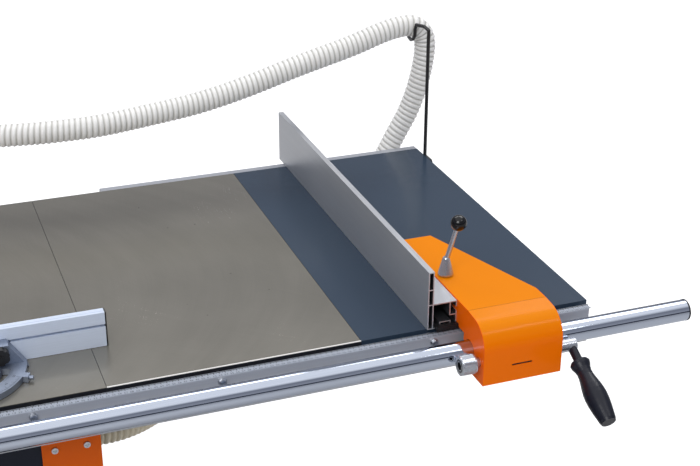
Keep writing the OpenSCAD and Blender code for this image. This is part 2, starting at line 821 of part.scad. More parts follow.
module tilt_cradle() {
  arc_y = trunnion_y - cradle_y - cradle_t;
  color([0.28, 0.3, 0.33]) difference() {
    union() {
      for (s = [-1, 1]) {
        y0 = s > 0 ? cradle_y : -cradle_y - cradle_t;
        block(cradle_x0, cradle_x1, y0, y0 + cradle_t, T + cradle_low, T - 40);
        k0 = s > 0 ? cradle_y + 1 : -trunnion_y - trunnion_t;
        k1 = s > 0 ? trunnion_y + trunnion_t : -cradle_y - 1;
        translate([0, 0, T]) along_y(k0, k1)
          ring_segment(key_r0, key_r1, -key_half, key_half);
        block(column_x - 24, column_x + 24, s > 0 ? column_y - 22 : -cradle_y - 1,
          s > 0 ? cradle_y + 1 : -column_y + 22, T - 52, T - 40);
      }
      block(column_x - 24, screw_x + 20, -cradle_y - 1, cradle_y + 1, T + cradle_low,
        T + cradle_low + 15);
      translate([0, 0, T]) along_y(-cradle_y - 30, -cradle_y - 1)
        ring_segment(sector_root, sector_r, -tilt_max - 7, 7);
    }
    for (s = [-1, 1])
      rod_z(column_x, s * column_y, T + cradle_low - 1, T - 39, column_r);
    rod_y(screw_x, -cradle_y - cradle_t - 1, -cradle_y + 1, T + lift_z, lift_r + run);
    rod_z(screw_x, bevel_y, T + cradle_low - 1, T + cradle_low + 16, 6 + run);
  }
}

module guide_columns() {
  color([0.82, 0.83, 0.85]) for (s = [-1, 1])
    rod_z(column_x, s * column_y, T + cradle_low, T - 40, column_r);
}

// Arbor unit that rides on the columns
sleeve_top = -72;
sleeve_low = -172;

module arbor_carriage() {
  color([0.32, 0.34, 0.36]) difference() {
    union() {
      for (s = [-1, 1]) rod_z(column_x, s * column_y, T + sleeve_low, T + sleeve_top, 22);
      block(column_x - 12, column_x + 12, -column_y, column_y, T - 148, T - 82);
      rod_x(housing_x1 - housing_l, housing_x1, 0, T + arbor_z, housing_r);
      block(column_x - 30, housing_x1 - 2, -28, 28, T - 148, T + arbor_z);
      block(motor_x1, motor_x1 + 12, -72, 72, T + motor_z - 72, T - 84);
      block(column_x, motor_x1 + 6, -72, 72, T - 148, T - 128);
      rod_z(screw_x, bevel_y, T - 172, T - 82, 19);
      block(-80, -4, 58, 76, T - 140, T - 112);
      block(-12, -4, 58, knife_y + 10, T - 140, T - 108);
    }
    for (s = [-1, 1])
      rod_z(column_x, s * column_y, T + sleeve_low - 1, T + sleeve_top + 1, column_r + run);
    rod_z(screw_x, bevel_y, T - 173, T - 81, screw_r + run);
    rod_x(housing_x1 - housing_l - 1, housing_x1 + 1, 0, T + arbor_z, arbor_r + run);
    rod_x(motor_x1 - 1, motor_x1 + 13, 0, T + motor_z, 30);
    for (z = knife_zs) rod_x(-13, -3, knife_y, T + z, 3);
  }
}

module motor() {
  fins = 24;
  color([0.2, 0.22, 0.25]) difference() {
    union() {
      rod_x(motor_x1 - motor_l, motor_x1, 0, T + motor_z, motor_dia / 2 - 6);
      rod_x(motor_x1 - 14, motor_x1, 0, T + motor_z, motor_dia / 2);
      rod_x(motor_x1 - motor_l - 32, motor_x1 - motor_l + 8, 0, T + motor_z, motor_dia / 2);
      for (i = [0:fins - 1]) translate([motor_x1 - motor_l, 0, T + motor_z])
        rotate([360 * i / fins, 0, 0]) translate([1, -1, 0]) cube([motor_l - 2, 2, motor_dia / 2 - 1]);
      block(motor_x1 - 110, motor_x1 - 30, motor_dia / 2 - 12, motor_dia / 2 + 24,
        T + motor_z - 30, T + motor_z + 30);
    }
    rod_x(motor_x1 - 60, motor_x1 + 1, 0, T + motor_z, motor_shaft_r + run);
    for (i = [0:7]) translate([motor_x1 - motor_l - 33, 0, T + motor_z])
      rotate([45 * i, 0, 0]) translate([0, -2.5, 15]) cube([3, 5, 40]);
  }
}

module riving_knife() {
  c = arbor_z;
  color([0.62, 0.63, 0.65]) difference() {
    along_x(-knife_t / 2, knife_t / 2) translate([0, T]) difference() {
      intersection() {
        union() {
          translate([0, c]) circle(r = knife_r + 44, $fn = 96);
          rect(100, 198, 0, guard_z0 + 32);
        }
        rect(118, knife_y + 11, -146, guard_z0 + 32);
      }
      translate([0, c]) circle(r = knife_r, $fn = 96);
    }
    for (z = knife_zs) rod_x(-3, 3, knife_y, T + z, 3);
    rod_x(-3, 3, 165, T + guard_z0 + 16, 4);
  }
  color([0.62, 0.63, 0.65]) for (z = knife_zs) rod_x(-12, knife_t / 2 + 3, knife_y, T + z, 3);
  color([0.62, 0.63, 0.65])
    block(-4, -knife_t / 2, knife_y - 10, knife_y + 10, T - 140, T - 108);
}

module blade_guard() {
  w = guard_w / 2;
  color([0.85, 0.4, 0.1]) difference() {
    union() {
      along_x(-w, w) translate([0, T]) {
        rect(guard_y0 + 60, guard_y1, guard_z0, guard_z1);
        intersection() {
          translate([guard_y0 + 75, guard_z0]) circle(r = 75, $fn = 96);
          rect(guard_y0, guard_y0 + 76, guard_z0, guard_z1);
        }
      }
      rod_y(0, guard_y1 - 20, port_y1, T + port_z, hose_r);
      rod_x(-w - 3, w + 4, 165, T + guard_z0 + 16, 9);
    }
    along_x(-w + 2, w - 2) translate([0, T]) {
      rect(guard_y0 + 60, guard_y1 - 2, guard_z0 - 1, guard_z1 - 2);
      intersection() {
        translate([guard_y0 + 75, guard_z0]) circle(r = 73, $fn = 96);
        rect(guard_y0, guard_y0 + 76, guard_z0 - 1, guard_z1 - 2);
      }
    }
    rod_y(0, guard_y1 - 18, port_y1 + 1, T + port_z, hose_r - 4);
  }
  color([0.1, 0.1, 0.11]) rod_x(-w + 1, w - 1, 165, T + guard_z0 + 16, 4);
}

// Drive belt round both pulleys
module drive_belt() {
  x = pulley_x1 - pulley_w / 2;
  color([0.07, 0.07, 0.08]) along_x(x - belt_w / 2, x + belt_w / 2) translate([0, T]) difference() {
    hull() {
      translate([0, arbor_z]) circle(r = arbor_pulley_r + belt_t, $fn = 40);
      translate([0, motor_z]) circle(r = motor_pulley_r + belt_t, $fn = 40);
    }
    hull() {
      translate([0, arbor_z]) circle(r = arbor_pulley_r + clear, $fn = 40);
      translate([0, motor_z]) circle(r = motor_pulley_r + clear, $fn = 40);
    }
  }
}

module arbor_shaft() {
  color([0.75, 0.76, 0.78]) union() {
    rod_x(housing_x1 - housing_l - 8, 24, 0, T + arbor_z, arbor_r);
    rod_x(housing_x1 - housing_l - 8, housing_x1 - housing_l - clear, 0, T + arbor_z, arbor_r + 5);
  }
}

module saw_blade() {
  teeth = 24;
  color([0.7, 0.71, 0.73]) difference() {
    along_x(-blade_t / 2, blade_t / 2) translate([0, T + arbor_z]) difference() {
      circle(r = blade_dia / 2, $fn = 96);
      for (i = [0:teeth - 1]) rotate([0, 0, 360 * i / teeth])
        translate([blade_dia / 2 - 9, 0]) polygon([[0, -2], [12, -12], [14, 0], [0, 2]]);
    }
    rod_x(-10, 10, 0, T + arbor_z, arbor_r);
  }
}

module blade_clamp() {
  x = blade_t / 2;
  color([0.55, 0.56, 0.58]) difference() {
    union() {
      rod_x(-x - flange_t, -x, 0, T + arbor_z, flange_r);
      rod_x(x, x + 6, 0, T + arbor_z, flange_r);
      translate([x + 6, 0, T + arbor_z]) rotate([0, 90, 0]) cylinder(r = 25, h = 12, $fn = 6);
    }
    rod_x(-30, 30, 0, T + arbor_z, arbor_r);
  }
}

module pulley(x1, r, bore, z) {
  difference() {
    union() {
      rod_x(x1 - pulley_w, x1, 0, z, r);
      rod_x(x1 - pulley_w, x1 - pulley_w + 4, 0, z, r + 5);
      rod_x(x1 - 4, x1, 0, z, r + 5);
    }
    rod_x(x1 - pulley_w - 1, x1 + 1, 0, z, bore);
  }
}

module arbor_pulley() {
  color([0.45, 0.46, 0.48]) pulley(pulley_x1, arbor_pulley_r, arbor_r, T + arbor_z);
}

module motor_pulley() {
  color([0.45, 0.46, 0.48]) {
    pulley(pulley_x1, motor_pulley_r, 5, T + motor_z);
    rod_x(motor_x1 - 55, pulley_x1, 0, T + motor_z, motor_shaft_r);
  }
}

// Handwheels
module handwheel(r) {
  rotate_extrude($fn = 64) translate([r - 8, 0]) circle(r = 8, $fn = 24);
  cylinder(r = 18, h = 22, center = true);
  for (a = [0, 120, 240]) rotate([0, 0, a]) translate([0, -6, -4]) cube([r - 8, 12, 8]);
  rotate([0, 0, 60]) translate([r - 10, 0, 0]) {
    cylinder(r = 5, h = 20);
    translate([0, 0, 18]) cylinder(r1 = 9, r2 = 13, h = 45);
    translate([0, 0, 63]) sphere(r = 13, $fn = 32);
  }
}

module lift_handwheel() {
  hub_y = -cab_y - 32;
  color([0.1, 0.1, 0.11]) translate([screw_x, hub_y, T + lift_z]) rotate([90, 0, 0])
    handwheel(80);
  color([0.6, 0.61, 0.63]) {
    rod_y(screw_x, hub_y - 11, bevel_y - 23, T + lift_z, lift_r);
    translate([screw_x, bevel_y - 24, T + lift_z]) rotate([-90, 0, 0])
      cylinder(r1 = 23.4, r2 = 11.4, h = 12);
    rod_y(screw_x, -cradle_y + clear, -cradle_y + 6, T + lift_z, lift_r + 6);
  }
}

module lift_screw() {
  color([0.6, 0.61, 0.63]) {
    rod_z(screw_x, bevel_y, T + cradle_low, T + cradle_low + 16, 6);
    rod_z(screw_x, bevel_y, T + cradle_low + 15 + clear, T - 60, screw_r);
    translate([screw_x, bevel_y, T + lift_z - 24]) cylinder(r1 = 23.4, r2 = 11.4, h = 12);
  }
}

module tilt_handwheel() {
  hub_x = -cab_x - 34;
  color([0.1, 0.1, 0.11]) translate([hub_x, worm_y, T + worm_z]) rotate([0, -90, 0])
    handwheel(70);
  color([0.6, 0.61, 0.63]) {
    rod_x(hub_x - 11, 80, worm_y, T + worm_z, worm_shaft_r);
    rod_x(-30, 30, worm_y, T + worm_z, worm_r);
    rod_x(70 + clear, 76, worm_y, T + worm_z, worm_r);
  }
}

// Rip fence
module fence_carriage() {
  x0 = cover_x0 + 6;
  x1 = cover_x1 - 6;
  color([0.3, 0.31, 0.33]) difference() {
    union() {
      block(x0, x1, front_y - 114, bar_y + 24, T - 50, T + 8);
      block(x0, x0 + 54, cover_crease + 1, lever_y + 150, T + 2, T + cover_h - cover_t);
      block(fence_x + fence_w - 7, x0 + 1, key_y0, key_y1, T + key_z - key_neck,
        T + key_z + key_neck);
      block(fence_x + fence_w - 7, fence_x + fence_w - 2 - key_gap, key_y0, key_y1,
        T + key_z - key_head, T + key_z + key_head);
    }
    rod_x(x0 - 1, x1 + 1, bar_y, bar_z, bar_r + run, $fn = 64);
    block(x0 - 1, x1 + 1, bar_y, bar_y + 25, bar_z - 9.5, bar_z + 9.5);
    rod_x(x0 - 1, x1 + 1, shaft_y, shaft_z, shaft_r + run);
    rod_z(lever_x, lever_y, T + 20, T + cover_h, 5 + run);
    block(x0 + 8, x0 + 46, lever_y + 30, lever_y + 140, T + 10, T + cover_h);
    block(x0 + 8, x0 + 46, front_y - 20, lever_y - 30, T + 10, T + cover_h);
  }
}

module cover_form(i) {
  knee = front_y - 13;
  low_y = front_y - 37;
  run_out = cover_w - 60.4;
  nose_z = T + cover_h - cover_fall - cover_r;
  nose = [cover_y0 + cover_r, nose_z];
  crease = [cover_crease, T + cover_h - i];
  slope = crease - nose;
  turn = atan2(slope[1], slope[0]) + acos((cover_r - i) / norm(slope));
  touch = nose + (cover_r - i) * [cos(turn), sin(turn)];
  intersection() {
    along_x(cover_x0 + i, cover_x1 - i) difference() {
      union() {
        rect(cover_y0 + i, cover_y0 + cover_r + 1, T + cover_low - i, nose_z);
        translate(nose) circle(r = cover_r - i, $fn = 96);
        polygon([nose, touch, crease, [cover_crease, nose_z]]);
        rect(cover_crease, front_y + cover_l - i, T + cover_low - i, T + cover_h - i);
        rect(cover_y0 + cover_r, cover_crease + 1, T + cover_low - i, nose_z);
      }
      if (i == 0) rect(low_y, front_y + cover_l + 1, T + cover_low - 1, T + 2);
    }
    translate([0, 0, T - 100]) linear_extrude(200) polygon([[cover_x0 + i, cover_y0],
      [cover_x0 + i, front_y + cover_l - i], [cover_x0 + 60.4 - i, front_y + cover_l - i],
      [cover_x0 + 60.4 + run_out - i, knee - i / 2], [cover_x1 - i, cover_y0]]);
  }
}

module fence_cover() {
  color([0.96, 0.5, 0.08]) difference() {
    cover_form(0);
    cover_form(cover_t);
    rod_x(cover_x0 - 1, cover_x1 + 1, bar_y, bar_z, bar_r + 0.6, $fn = 64);
    block(cover_x0 - 1, cover_x1 + 1, bar_y, bar_y + 30, bar_z - 9.5, bar_z + 9.5);
    rod_x(cover_x0 - 1, cover_x1 + 1, shaft_y, shaft_z, shaft_r + 0.8);
    rod_z(lever_x, lever_y, T + cover_h - 5, T + cover_h + 1, 5.5);
    block(cover_x0 + 55, cover_x0 + 94, cover_y0 - 1, cover_y0 + cover_t + 1, T - 31, T - 27);
    block(cover_x0 - 1, cover_x0 + cover_t + 1, key_y0 - key_gap, key_y1 + key_gap,
      T + key_z - key_neck - key_gap, T + key_z + key_neck + key_gap);
  }
}

module rip_fence() {
  x = fence_x;
  h = fence_h;
  low = fence_low_h;
  color([0.66, 0.67, 0.69]) translate([0, 0, T + 0.5])
    along_y(front_y - 4.6, front_y - 4.6 + fence_l) difference() {
      union() {
        rect(x, x + 11, 0, h);
        rect(x, x + fence_w, 0, low);
      }
      rect(x + 2, x + 9, 2, low - 2);
      rect(x + 2, x + 9, low, h - 36);
      rect(x + 2, x + 9, h - 34, h - 2);
      difference() {
        rect(x + 11, x + fence_w - 2, 2, low - 2);
        rect(x + 23, x + 45, 1, 12);
        rect(x + fence_w - 14, x + fence_w - 12, 22, low);
        rect(x + fence_w - 14, x + fence_w, 22, 24);
      }
      rect(x + 30, x + 38, -1, 5);
      rect(x + 25, x + 43, 4, 10);
      rect(x + fence_w - 3, x + fence_w + 1, key_z - key_neck - key_gap - 0.5,
        key_z + key_neck + key_gap - 0.5);
    }
}

module fence_glide() {
  color([0.07, 0.07, 0.08])
    block(fence_x + 14, fence_x + fence_w, front_y - 4.6 - 11, front_y - 4.6, T + 0.5, T + 8);
}

module fence_lever() {
  color([0.78, 0.79, 0.81]) {
    rod_z(lever_x, lever_y, T + 22, T + cover_h + clear, 5);
    translate([lever_x, lever_y, T + cover_h + clear]) {
      rotate_extrude() polygon([[0, 0], [12.3, 0], [13.8, 0.9], [14.5, 2.6], [14.4, 4.6],
        [6.5, 34], [5.6, 35.6], [0, 36]]);
    }
    translate([lever_x, lever_y, T + cover_h + 28]) rotate([0, lever_lean, 0])
      cylinder(r = lever_r, h = 72);
  }
}
lever_lean = 17;
lever_r = 4.7;

module lever_ball() {
  color([0.05, 0.05, 0.06]) translate([lever_x, lever_y, T + cover_h + 28])
    rotate([0, lever_lean, 0]) difference() {
      translate([0, 0, 76]) sphere(r = 15);
      cylinder(r = lever_r, h = 72);
    }
}

module clamp_shaft() {
  knob_x0 = cover_x0 - 36.4;
  knob_x1 = cover_x0 - 9.4;
  color([0.72, 0.73, 0.75]) difference() {
    union() {
      rod_x(knob_x0, knob_x1, shaft_y, shaft_z, 17.5);
      rod_x(knob_x1 - 1, cover_x1 + 2, shaft_y, shaft_z, shaft_r);
      rod_x(cover_x1 + 1, cover_x1 + hub_l, shaft_y, shaft_z, hub_r);
    }
    translate([knob_x0 - 1, shaft_y, shaft_z]) rotate([0, 90, 0]) cylinder(r = 8, h = 10, $fn = 6);
  }
}

module clamp_handle() {
  color([0.06, 0.06, 0.07]) translate([handle_x, shaft_y, shaft_z])
    rotate([90 + handle_dip, 0, 0]) difference() {
      union() {
        translate([0, 0, 5]) cylinder(r = 8, h = 34);
        translate([0, 0, 36]) rotate_extrude() polygon([[0, 0], [11, 0], [16, 1.5], [18.2, 5],
          [17.4, 10], [14.6, 17], [13.4, 24], [13.8, 32], [15.6, 42], [18, 53], [19.8, 64],
          [20.5, 74], [20, 86], [18.6, 99], [16.6, 112], [15, 122], [13.2, 127], [0, 127]]);
      }
      rotate([0, 90, 0]) translate([0, 0, -20]) cylinder(r = hub_r, h = 40);
    }
}

// Mitre gauge
module mitre_bar() {
  y0 = pivot_y - 16;
  color([0.6, 0.61, 0.63]) {
    block(slot_x - slot_w / 2 + clear, slot_x + slot_w / 2 - clear, y0, y0 + mitre_bar_l,
      T - slot_deep + clear, T - clear);
    for (y = [y0 + 30, y0 + mitre_bar_l - 30]) {
      rod_z(slot_x, y, T - slot_deep - 1, T - slot_deep + 1, 5);
      rod_z(slot_x, y, T - slot_deep - under_deep + clear, T - slot_deep - clear,
        under_w / 2 - clear);
    }
    rod_z(slot_x, pivot_y, T - 1, T + 23, pin_r);
  }
}
pin_r = 5;

module mitre_head() {
  color([0.66, 0.68, 0.7]) difference() {
    union() {
      translate([slot_x, pivot_y, T + 1]) linear_extrude(11) difference() {
        circle(r = gauge_r, $fn = 96);
        rect(-200, 200, 0, 200);
        ring_segment(71, 86, -74, 74);
      }
      difference() {
        along_y(pivot_y - 7, gauge_face) translate([slot_x, T])
          polygon([[-84, 1], [114, 1], [84, 47], [-70, 47]]);
        for (x = [-68, 20]) along_y(pivot_y - 3, gauge_face - 4) translate([slot_x + x, T])
          polygon([[0, 0], [48, 0], [48, 40], [0, 40]]);
      }
      translate([slot_x, pivot_y, T + 1]) rotate([0, 0, -26]) translate([gauge_r - 3, -7, 0])
        cube([12, 14, 11]);
      translate([slot_x, pivot_y, T + 7]) rotate([0, 0, -26])
        rod_x(gauge_r + 8, gauge_r + 16, 0, 0, 3.5);
    }
    rod_z(slot_x, pivot_y, T, T + 24, pin_r + run);
    rod_y(knob_x, pivot_y - 8, gauge_face + 1, T + knob_z, 4 + run);
  }
}
knob_x = slot_x + 69;
knob_z = 33;

module mitre_knob() {
  color([0.05, 0.05, 0.06]) difference() {
    rod_y(knob_x, pivot_y - 21, pivot_y - 7 - clear, T + knob_z, 15);
    for (a = [0:60:300]) rod_y(knob_x + 17 * cos(a), pivot_y - 22, pivot_y - 7, T + knob_z + 17 * sin(a), 4);
  }
  color([0.8, 0.81, 0.83]) rod_y(knob_x, pivot_y - 23, gauge_face - clear, T + knob_z, 4);
}

module mitre_fence() {
  color([0.7, 0.71, 0.74]) along_x(gauge_x0, gauge_x1) translate([gauge_face, T + 0.5])
    difference() {
      square([gauge_t, gauge_h]);
      rect(2.5, gauge_t - 2.5, 2.5, 32);
      rect(-1, 3, 37.5, 42.5);
      rect(2.9, 9, 34.5, 45.5);
      rect(2.5, gauge_t - 2.5, 48, gauge_h - 3.5);
      rect(6, 7.2, gauge_h - 1.2, gauge_h + 1);
      rect(11, gauge_t - 2.5, 34.5, 45.5);
    }
}

module mitre_end_caps() {
  color([0.06, 0.06, 0.07]) for (x = [gauge_x0 - 2.5, gauge_x1])
    block(x, x + 2.5, gauge_face, gauge_face + gauge_t, T + 0.5, T + 0.5 + gauge_h);
}

// Sliding table on its beam
module carriage_beam() {
  y = beam_l / 2;
  color([0.68, 0.69, 0.71]) {
    along_y(-y, y) translate([0, 0]) difference() {
      union() {
        rect(beam_x0, beam_x1, beam_z1 - beam_h, beam_z1);
        for (x = [beam_x0 + 20, beam_x1 - 20]) translate([x, beam_z1 + run_r - 2]) circle(r = run_r);
      }
      rect(beam_x0 + 4, beam_x1 - 4, beam_z1 - beam_h + 4, beam_z1 - beam_h / 2 - 2);
      rect(beam_x0 + 4, beam_x1 - 4, beam_z1 - beam_h / 2 + 2, beam_z1 - 6);
      rect(beam_x0 - 1, beam_x0 + 3, beam_z1 - 60, beam_z1 - 50);
    }
  }
}

module sliding_table() {
  y = slide_l / 2;
  zr = beam_z1 + run_r - 2;
  color([0.74, 0.75, 0.77]) along_y(-y, y) difference() {
    union() {
      rect(slide_x0, slide_x1, T - 14, T);
      for (x = [beam_x0 + 20, beam_x1 - 20])
        rect(x - run_r - 8, x + run_r + 8, beam_z1 + 2, T - 13);
    }
    for (x = [beam_x0 + 20, beam_x1 - 20]) translate([x, zr]) {
      circle(r = run_r + clear);
      rect(-run_r - clear, run_r + clear, -run_r - 6, 0);
    }
    for (x = [slide_x1 - 40, slide_x0 + 50]) {
      rect(x - 6, x + 6, T - 5, T + 1);
      rect(x - 11, x + 11, T - 10, T - 4.9);
    }
    rect(slide_x0 + 80, slide_x1 - 60, T - 11, T - 4);
    for (k = [0:11]) rect(slide_x0 + 84 + 14 * k, slide_x0 + 86 + 14 * k, T - 0.8, T + 1);
  }
}

module crosscut_fence() {
  y0 = -slide_l / 2 + 60;
  x0 = slide_x0 - 260;
  x1 = slide_x1 + 95;
  color([0.7, 0.71, 0.74]) {
    along_x(x0, x1) translate([y0, T + 0.5]) difference() {
      square([36, 62]);
      rect(3, 33, 3, 26);
      rect(3, 33, 29, 50);
      rect(12, 24, 53, 59);
      rect(15, 21, 58, 63);
      rect(33, 37, 36, 42);
    }
  }
  color([0.06, 0.06, 0.07]) {
    block(slide_x0 + 35, slide_x0 + 65, y0 - 34, y0, T, T + 14);
    rod_z(slide_x0 + 50, y0 - 18, T - 9, T + 30, 4.5);
    rod_z(slide_x0 + 50, y0 - 18, T - 9.5, T - 5.4, 9);
    rod_z(slide_x0 + 50, y0 - 18, T + 30, T + 48, 16);
    block(x0 + 140, x0 + 170, y0 + 36, y0 + 44, T + 4, T + 78);
    block(x0 + 140, x0 + 170, y0 - 4, y0 + 44, T + 62.5, T + 78);
  }
}

base_frame();
front_panel();
rear_panel();
left_panel();
right_panel();
corner_plate();
screws();
main_table();
table_insert();
cast_extension();
steel_extension();
support_beams();
front_rail();
rail_scale();
guide_bar();
bar_end_caps();
bar_spacers();
rear_rail();
hose_hanger();
hanger_clamp();
dust_hose();
dust_port();
dust_chute();
switch_box();
start_button();
stop_button();
mains_inlet();
trunnions();
tilt_bearings();
carriage_beam();
tilt_cradle();
guide_columns();
arbor_carriage();
motor();
riving_knife();
blade_guard();
drive_belt();
arbor_shaft();
saw_blade();
blade_clamp();
arbor_pulley();
motor_pulley();
lift_handwheel();
lift_screw();
tilt_handwheel();
fence_carriage();
fence_cover();
rip_fence();
fence_glide();
fence_lever();
lever_ball();
clamp_shaft();
clamp_handle();
mitre_bar();
mitre_head();
mitre_fence();
mitre_end_caps();
mitre_knob();
sliding_table();
crosscut_fence();
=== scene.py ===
import math

import bpy
from mathutils import Matrix, Vector


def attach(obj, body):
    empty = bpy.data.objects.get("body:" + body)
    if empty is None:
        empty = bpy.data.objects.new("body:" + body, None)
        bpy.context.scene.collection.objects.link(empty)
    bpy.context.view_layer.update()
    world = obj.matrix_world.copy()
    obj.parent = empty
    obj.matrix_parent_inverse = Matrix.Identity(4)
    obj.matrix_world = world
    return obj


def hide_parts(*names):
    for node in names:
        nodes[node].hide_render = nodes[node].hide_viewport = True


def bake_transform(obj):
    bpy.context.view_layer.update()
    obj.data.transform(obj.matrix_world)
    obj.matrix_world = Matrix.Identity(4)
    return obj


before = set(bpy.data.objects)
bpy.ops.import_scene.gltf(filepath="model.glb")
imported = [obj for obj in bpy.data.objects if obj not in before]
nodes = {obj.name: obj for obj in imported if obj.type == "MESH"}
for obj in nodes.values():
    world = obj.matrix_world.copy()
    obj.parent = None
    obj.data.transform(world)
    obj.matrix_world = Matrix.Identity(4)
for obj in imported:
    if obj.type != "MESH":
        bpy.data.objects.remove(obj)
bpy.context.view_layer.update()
scene = bpy.context.scene
scene.view_settings.view_transform = "Standard"
print("frame loaded with", len(nodes), "nodes")


# Camera, at the photograph's angle
cameraView = {
    "place": (0.0381, -2.3320, 2.0386),
    "yaw": 20.689,  # degrees to the right of straight back
    "pitch": 25.310,  # degrees down
    "roll": 0.357,
    "lens": 70.25,
    "sensor": 36,
    "far": 100,
}


def makeCamera(view):
    data = bpy.data.cameras.new("camera")
    data.lens = view["lens"]
    data.sensor_width = view["sensor"]
    data.clip_end = view["far"]
    camera = bpy.data.objects.new("camera", data)
    scene.collection.objects.link(camera)
    camera.matrix_world = (
        Matrix.Translation(view["place"])
        @ Matrix.Rotation(-math.radians(view["yaw"]), 4, "Z")
        @ Matrix.Rotation(math.radians(90 - view["pitch"]), 4, "X")
        @ Matrix.Rotation(math.radians(view["roll"]), 4, "Z")
    )
    scene.camera = camera


makeCamera(cameraView)


# A shader socket that takes part in plain sums
class Wire:
    def __init__(self, finish, socket):
        self.finish = finish
        self.socket = socket

    def __add__(self, other):
        return self.finish.maths("ADD", self, other)

    def __radd__(self, other):
        return self.finish.maths("ADD", other, self)

    def __sub__(self, other):
        return self.finish.maths("SUBTRACT", self, other)

    def __rsub__(self, other):
        return self.finish.maths("SUBTRACT", other, self)

    def __mul__(self, other):
        return self.finish.maths("MULTIPLY", self, other)

    def __rmul__(self, other):
        return self.finish.maths("MULTIPLY", other, self)


# A node tree, of a material or of the world, that is built node by node
class Finish:
    def __init__(self, owner):
        owner.use_nodes = True
        self.owner = owner
        self.tree = owner.node_tree
        self.tree.nodes.clear()

    def make(self, kind, settings=None, sockets=None, output=0):
        node = self.tree.nodes.new(kind)
        for key, value in (settings or {}).items():
            if key == "stops":
                ramp = node.color_ramp.elements
                while len(ramp) < len(value):
                    ramp.new(0.5)
                for stop, (position, shade) in zip(ramp, value):
                    stop.position = position
                    stop.color = (*shade, 1)
            else:
                setattr(node, key, value)
        for key, value in (sockets or {}).items():
            if isinstance(value, Wire):
                self.tree.links.new(value.socket, node.inputs[key])
            else:
                node.inputs[key].default_value = value
        return Wire(self, node.outputs[output]) if len(node.outputs) else node

    def maths(self, operation, *values):
        return self.make("ShaderNodeMath", {"operation": operation}, dict(enumerate(values)))

    # 1 where the value lies within a width of the middle
    def close(self, value, middle, width):
        return self.maths("COMPARE", value, middle, width)

    # The value, kept between 0 and 1
    def limit(self, value):
        settings = {"operation": "ADD", "use_clamp": True}
        return self.make("ShaderNodeMath", settings, {0: value, 1: 0.0})

    # 0 below the first limit, 1 above the second
    def above(self, value, low, high):
        return self.make("ShaderNodeMapRange", {}, {0: value, 1: low, 2: high})

    # Distance from a point in a plane
    def distance(self, first, second):
        return self.maths("SQRT", first * first + second * second)

    def mix(self, factor, first, second):
        return self.make(
            "ShaderNodeMix", {"data_type": "RGBA"}, {0: factor, 6: first, 7: second}, output=2
        )

    def place(self):
        return self.make("ShaderNodeTexCoord", output="Object")

    def stretched(self, place, by):
        return self.make("ShaderNodeVectorMath", {"operation": "MULTIPLY"}, {0: place, 1: by})

    def joined(self, x, y, z):
        return self.make("ShaderNodeCombineXYZ", {}, {0: x, 1: y, 2: z})

    def parts(self, vector):
        split = self.make("ShaderNodeSeparateXYZ", {}, {0: vector}).socket.node
        return [Wire(self, split.outputs[i]) for i in range(3)]

    def noise(self, place, scale, detail=3.0, rough=0.5):
        sockets = {"Vector": place, "Scale": scale, "Detail": detail, "Roughness": rough}
        return self.make("ShaderNodeTexNoise", {}, sockets)

    def specks(self, place, scale, low, high):
        cell = self.make("ShaderNodeTexVoronoi", {}, {"Vector": place, "Scale": scale})
        return 1.0 - self.above(cell, low, high)

    def bump(self, height, strength, depth):
        sockets = {"Height": height, "Strength": strength, "Distance": depth}
        return self.make("ShaderNodeBump", {}, sockets)

    def shade(self, sockets):
        body = self.make("ShaderNodeBsdfPrincipled", {}, sockets)
        self.make("ShaderNodeOutputMaterial", {}, {"Surface": body})
        return self.owner


# A colour as a picture editor shows it, in the linear values that shaders take
def tint(red, green, blue):
    def linear(value):
        value /= 255
        return value / 12.92 if value <= 0.04045 else ((value + 0.055) / 1.055) ** 2.4

    return (linear(red), linear(green), linear(blue), 1.0)


def lighter(colour, by):
    return tuple(min(1.0, part * by) for part in colour[:3]) + (1.0,)


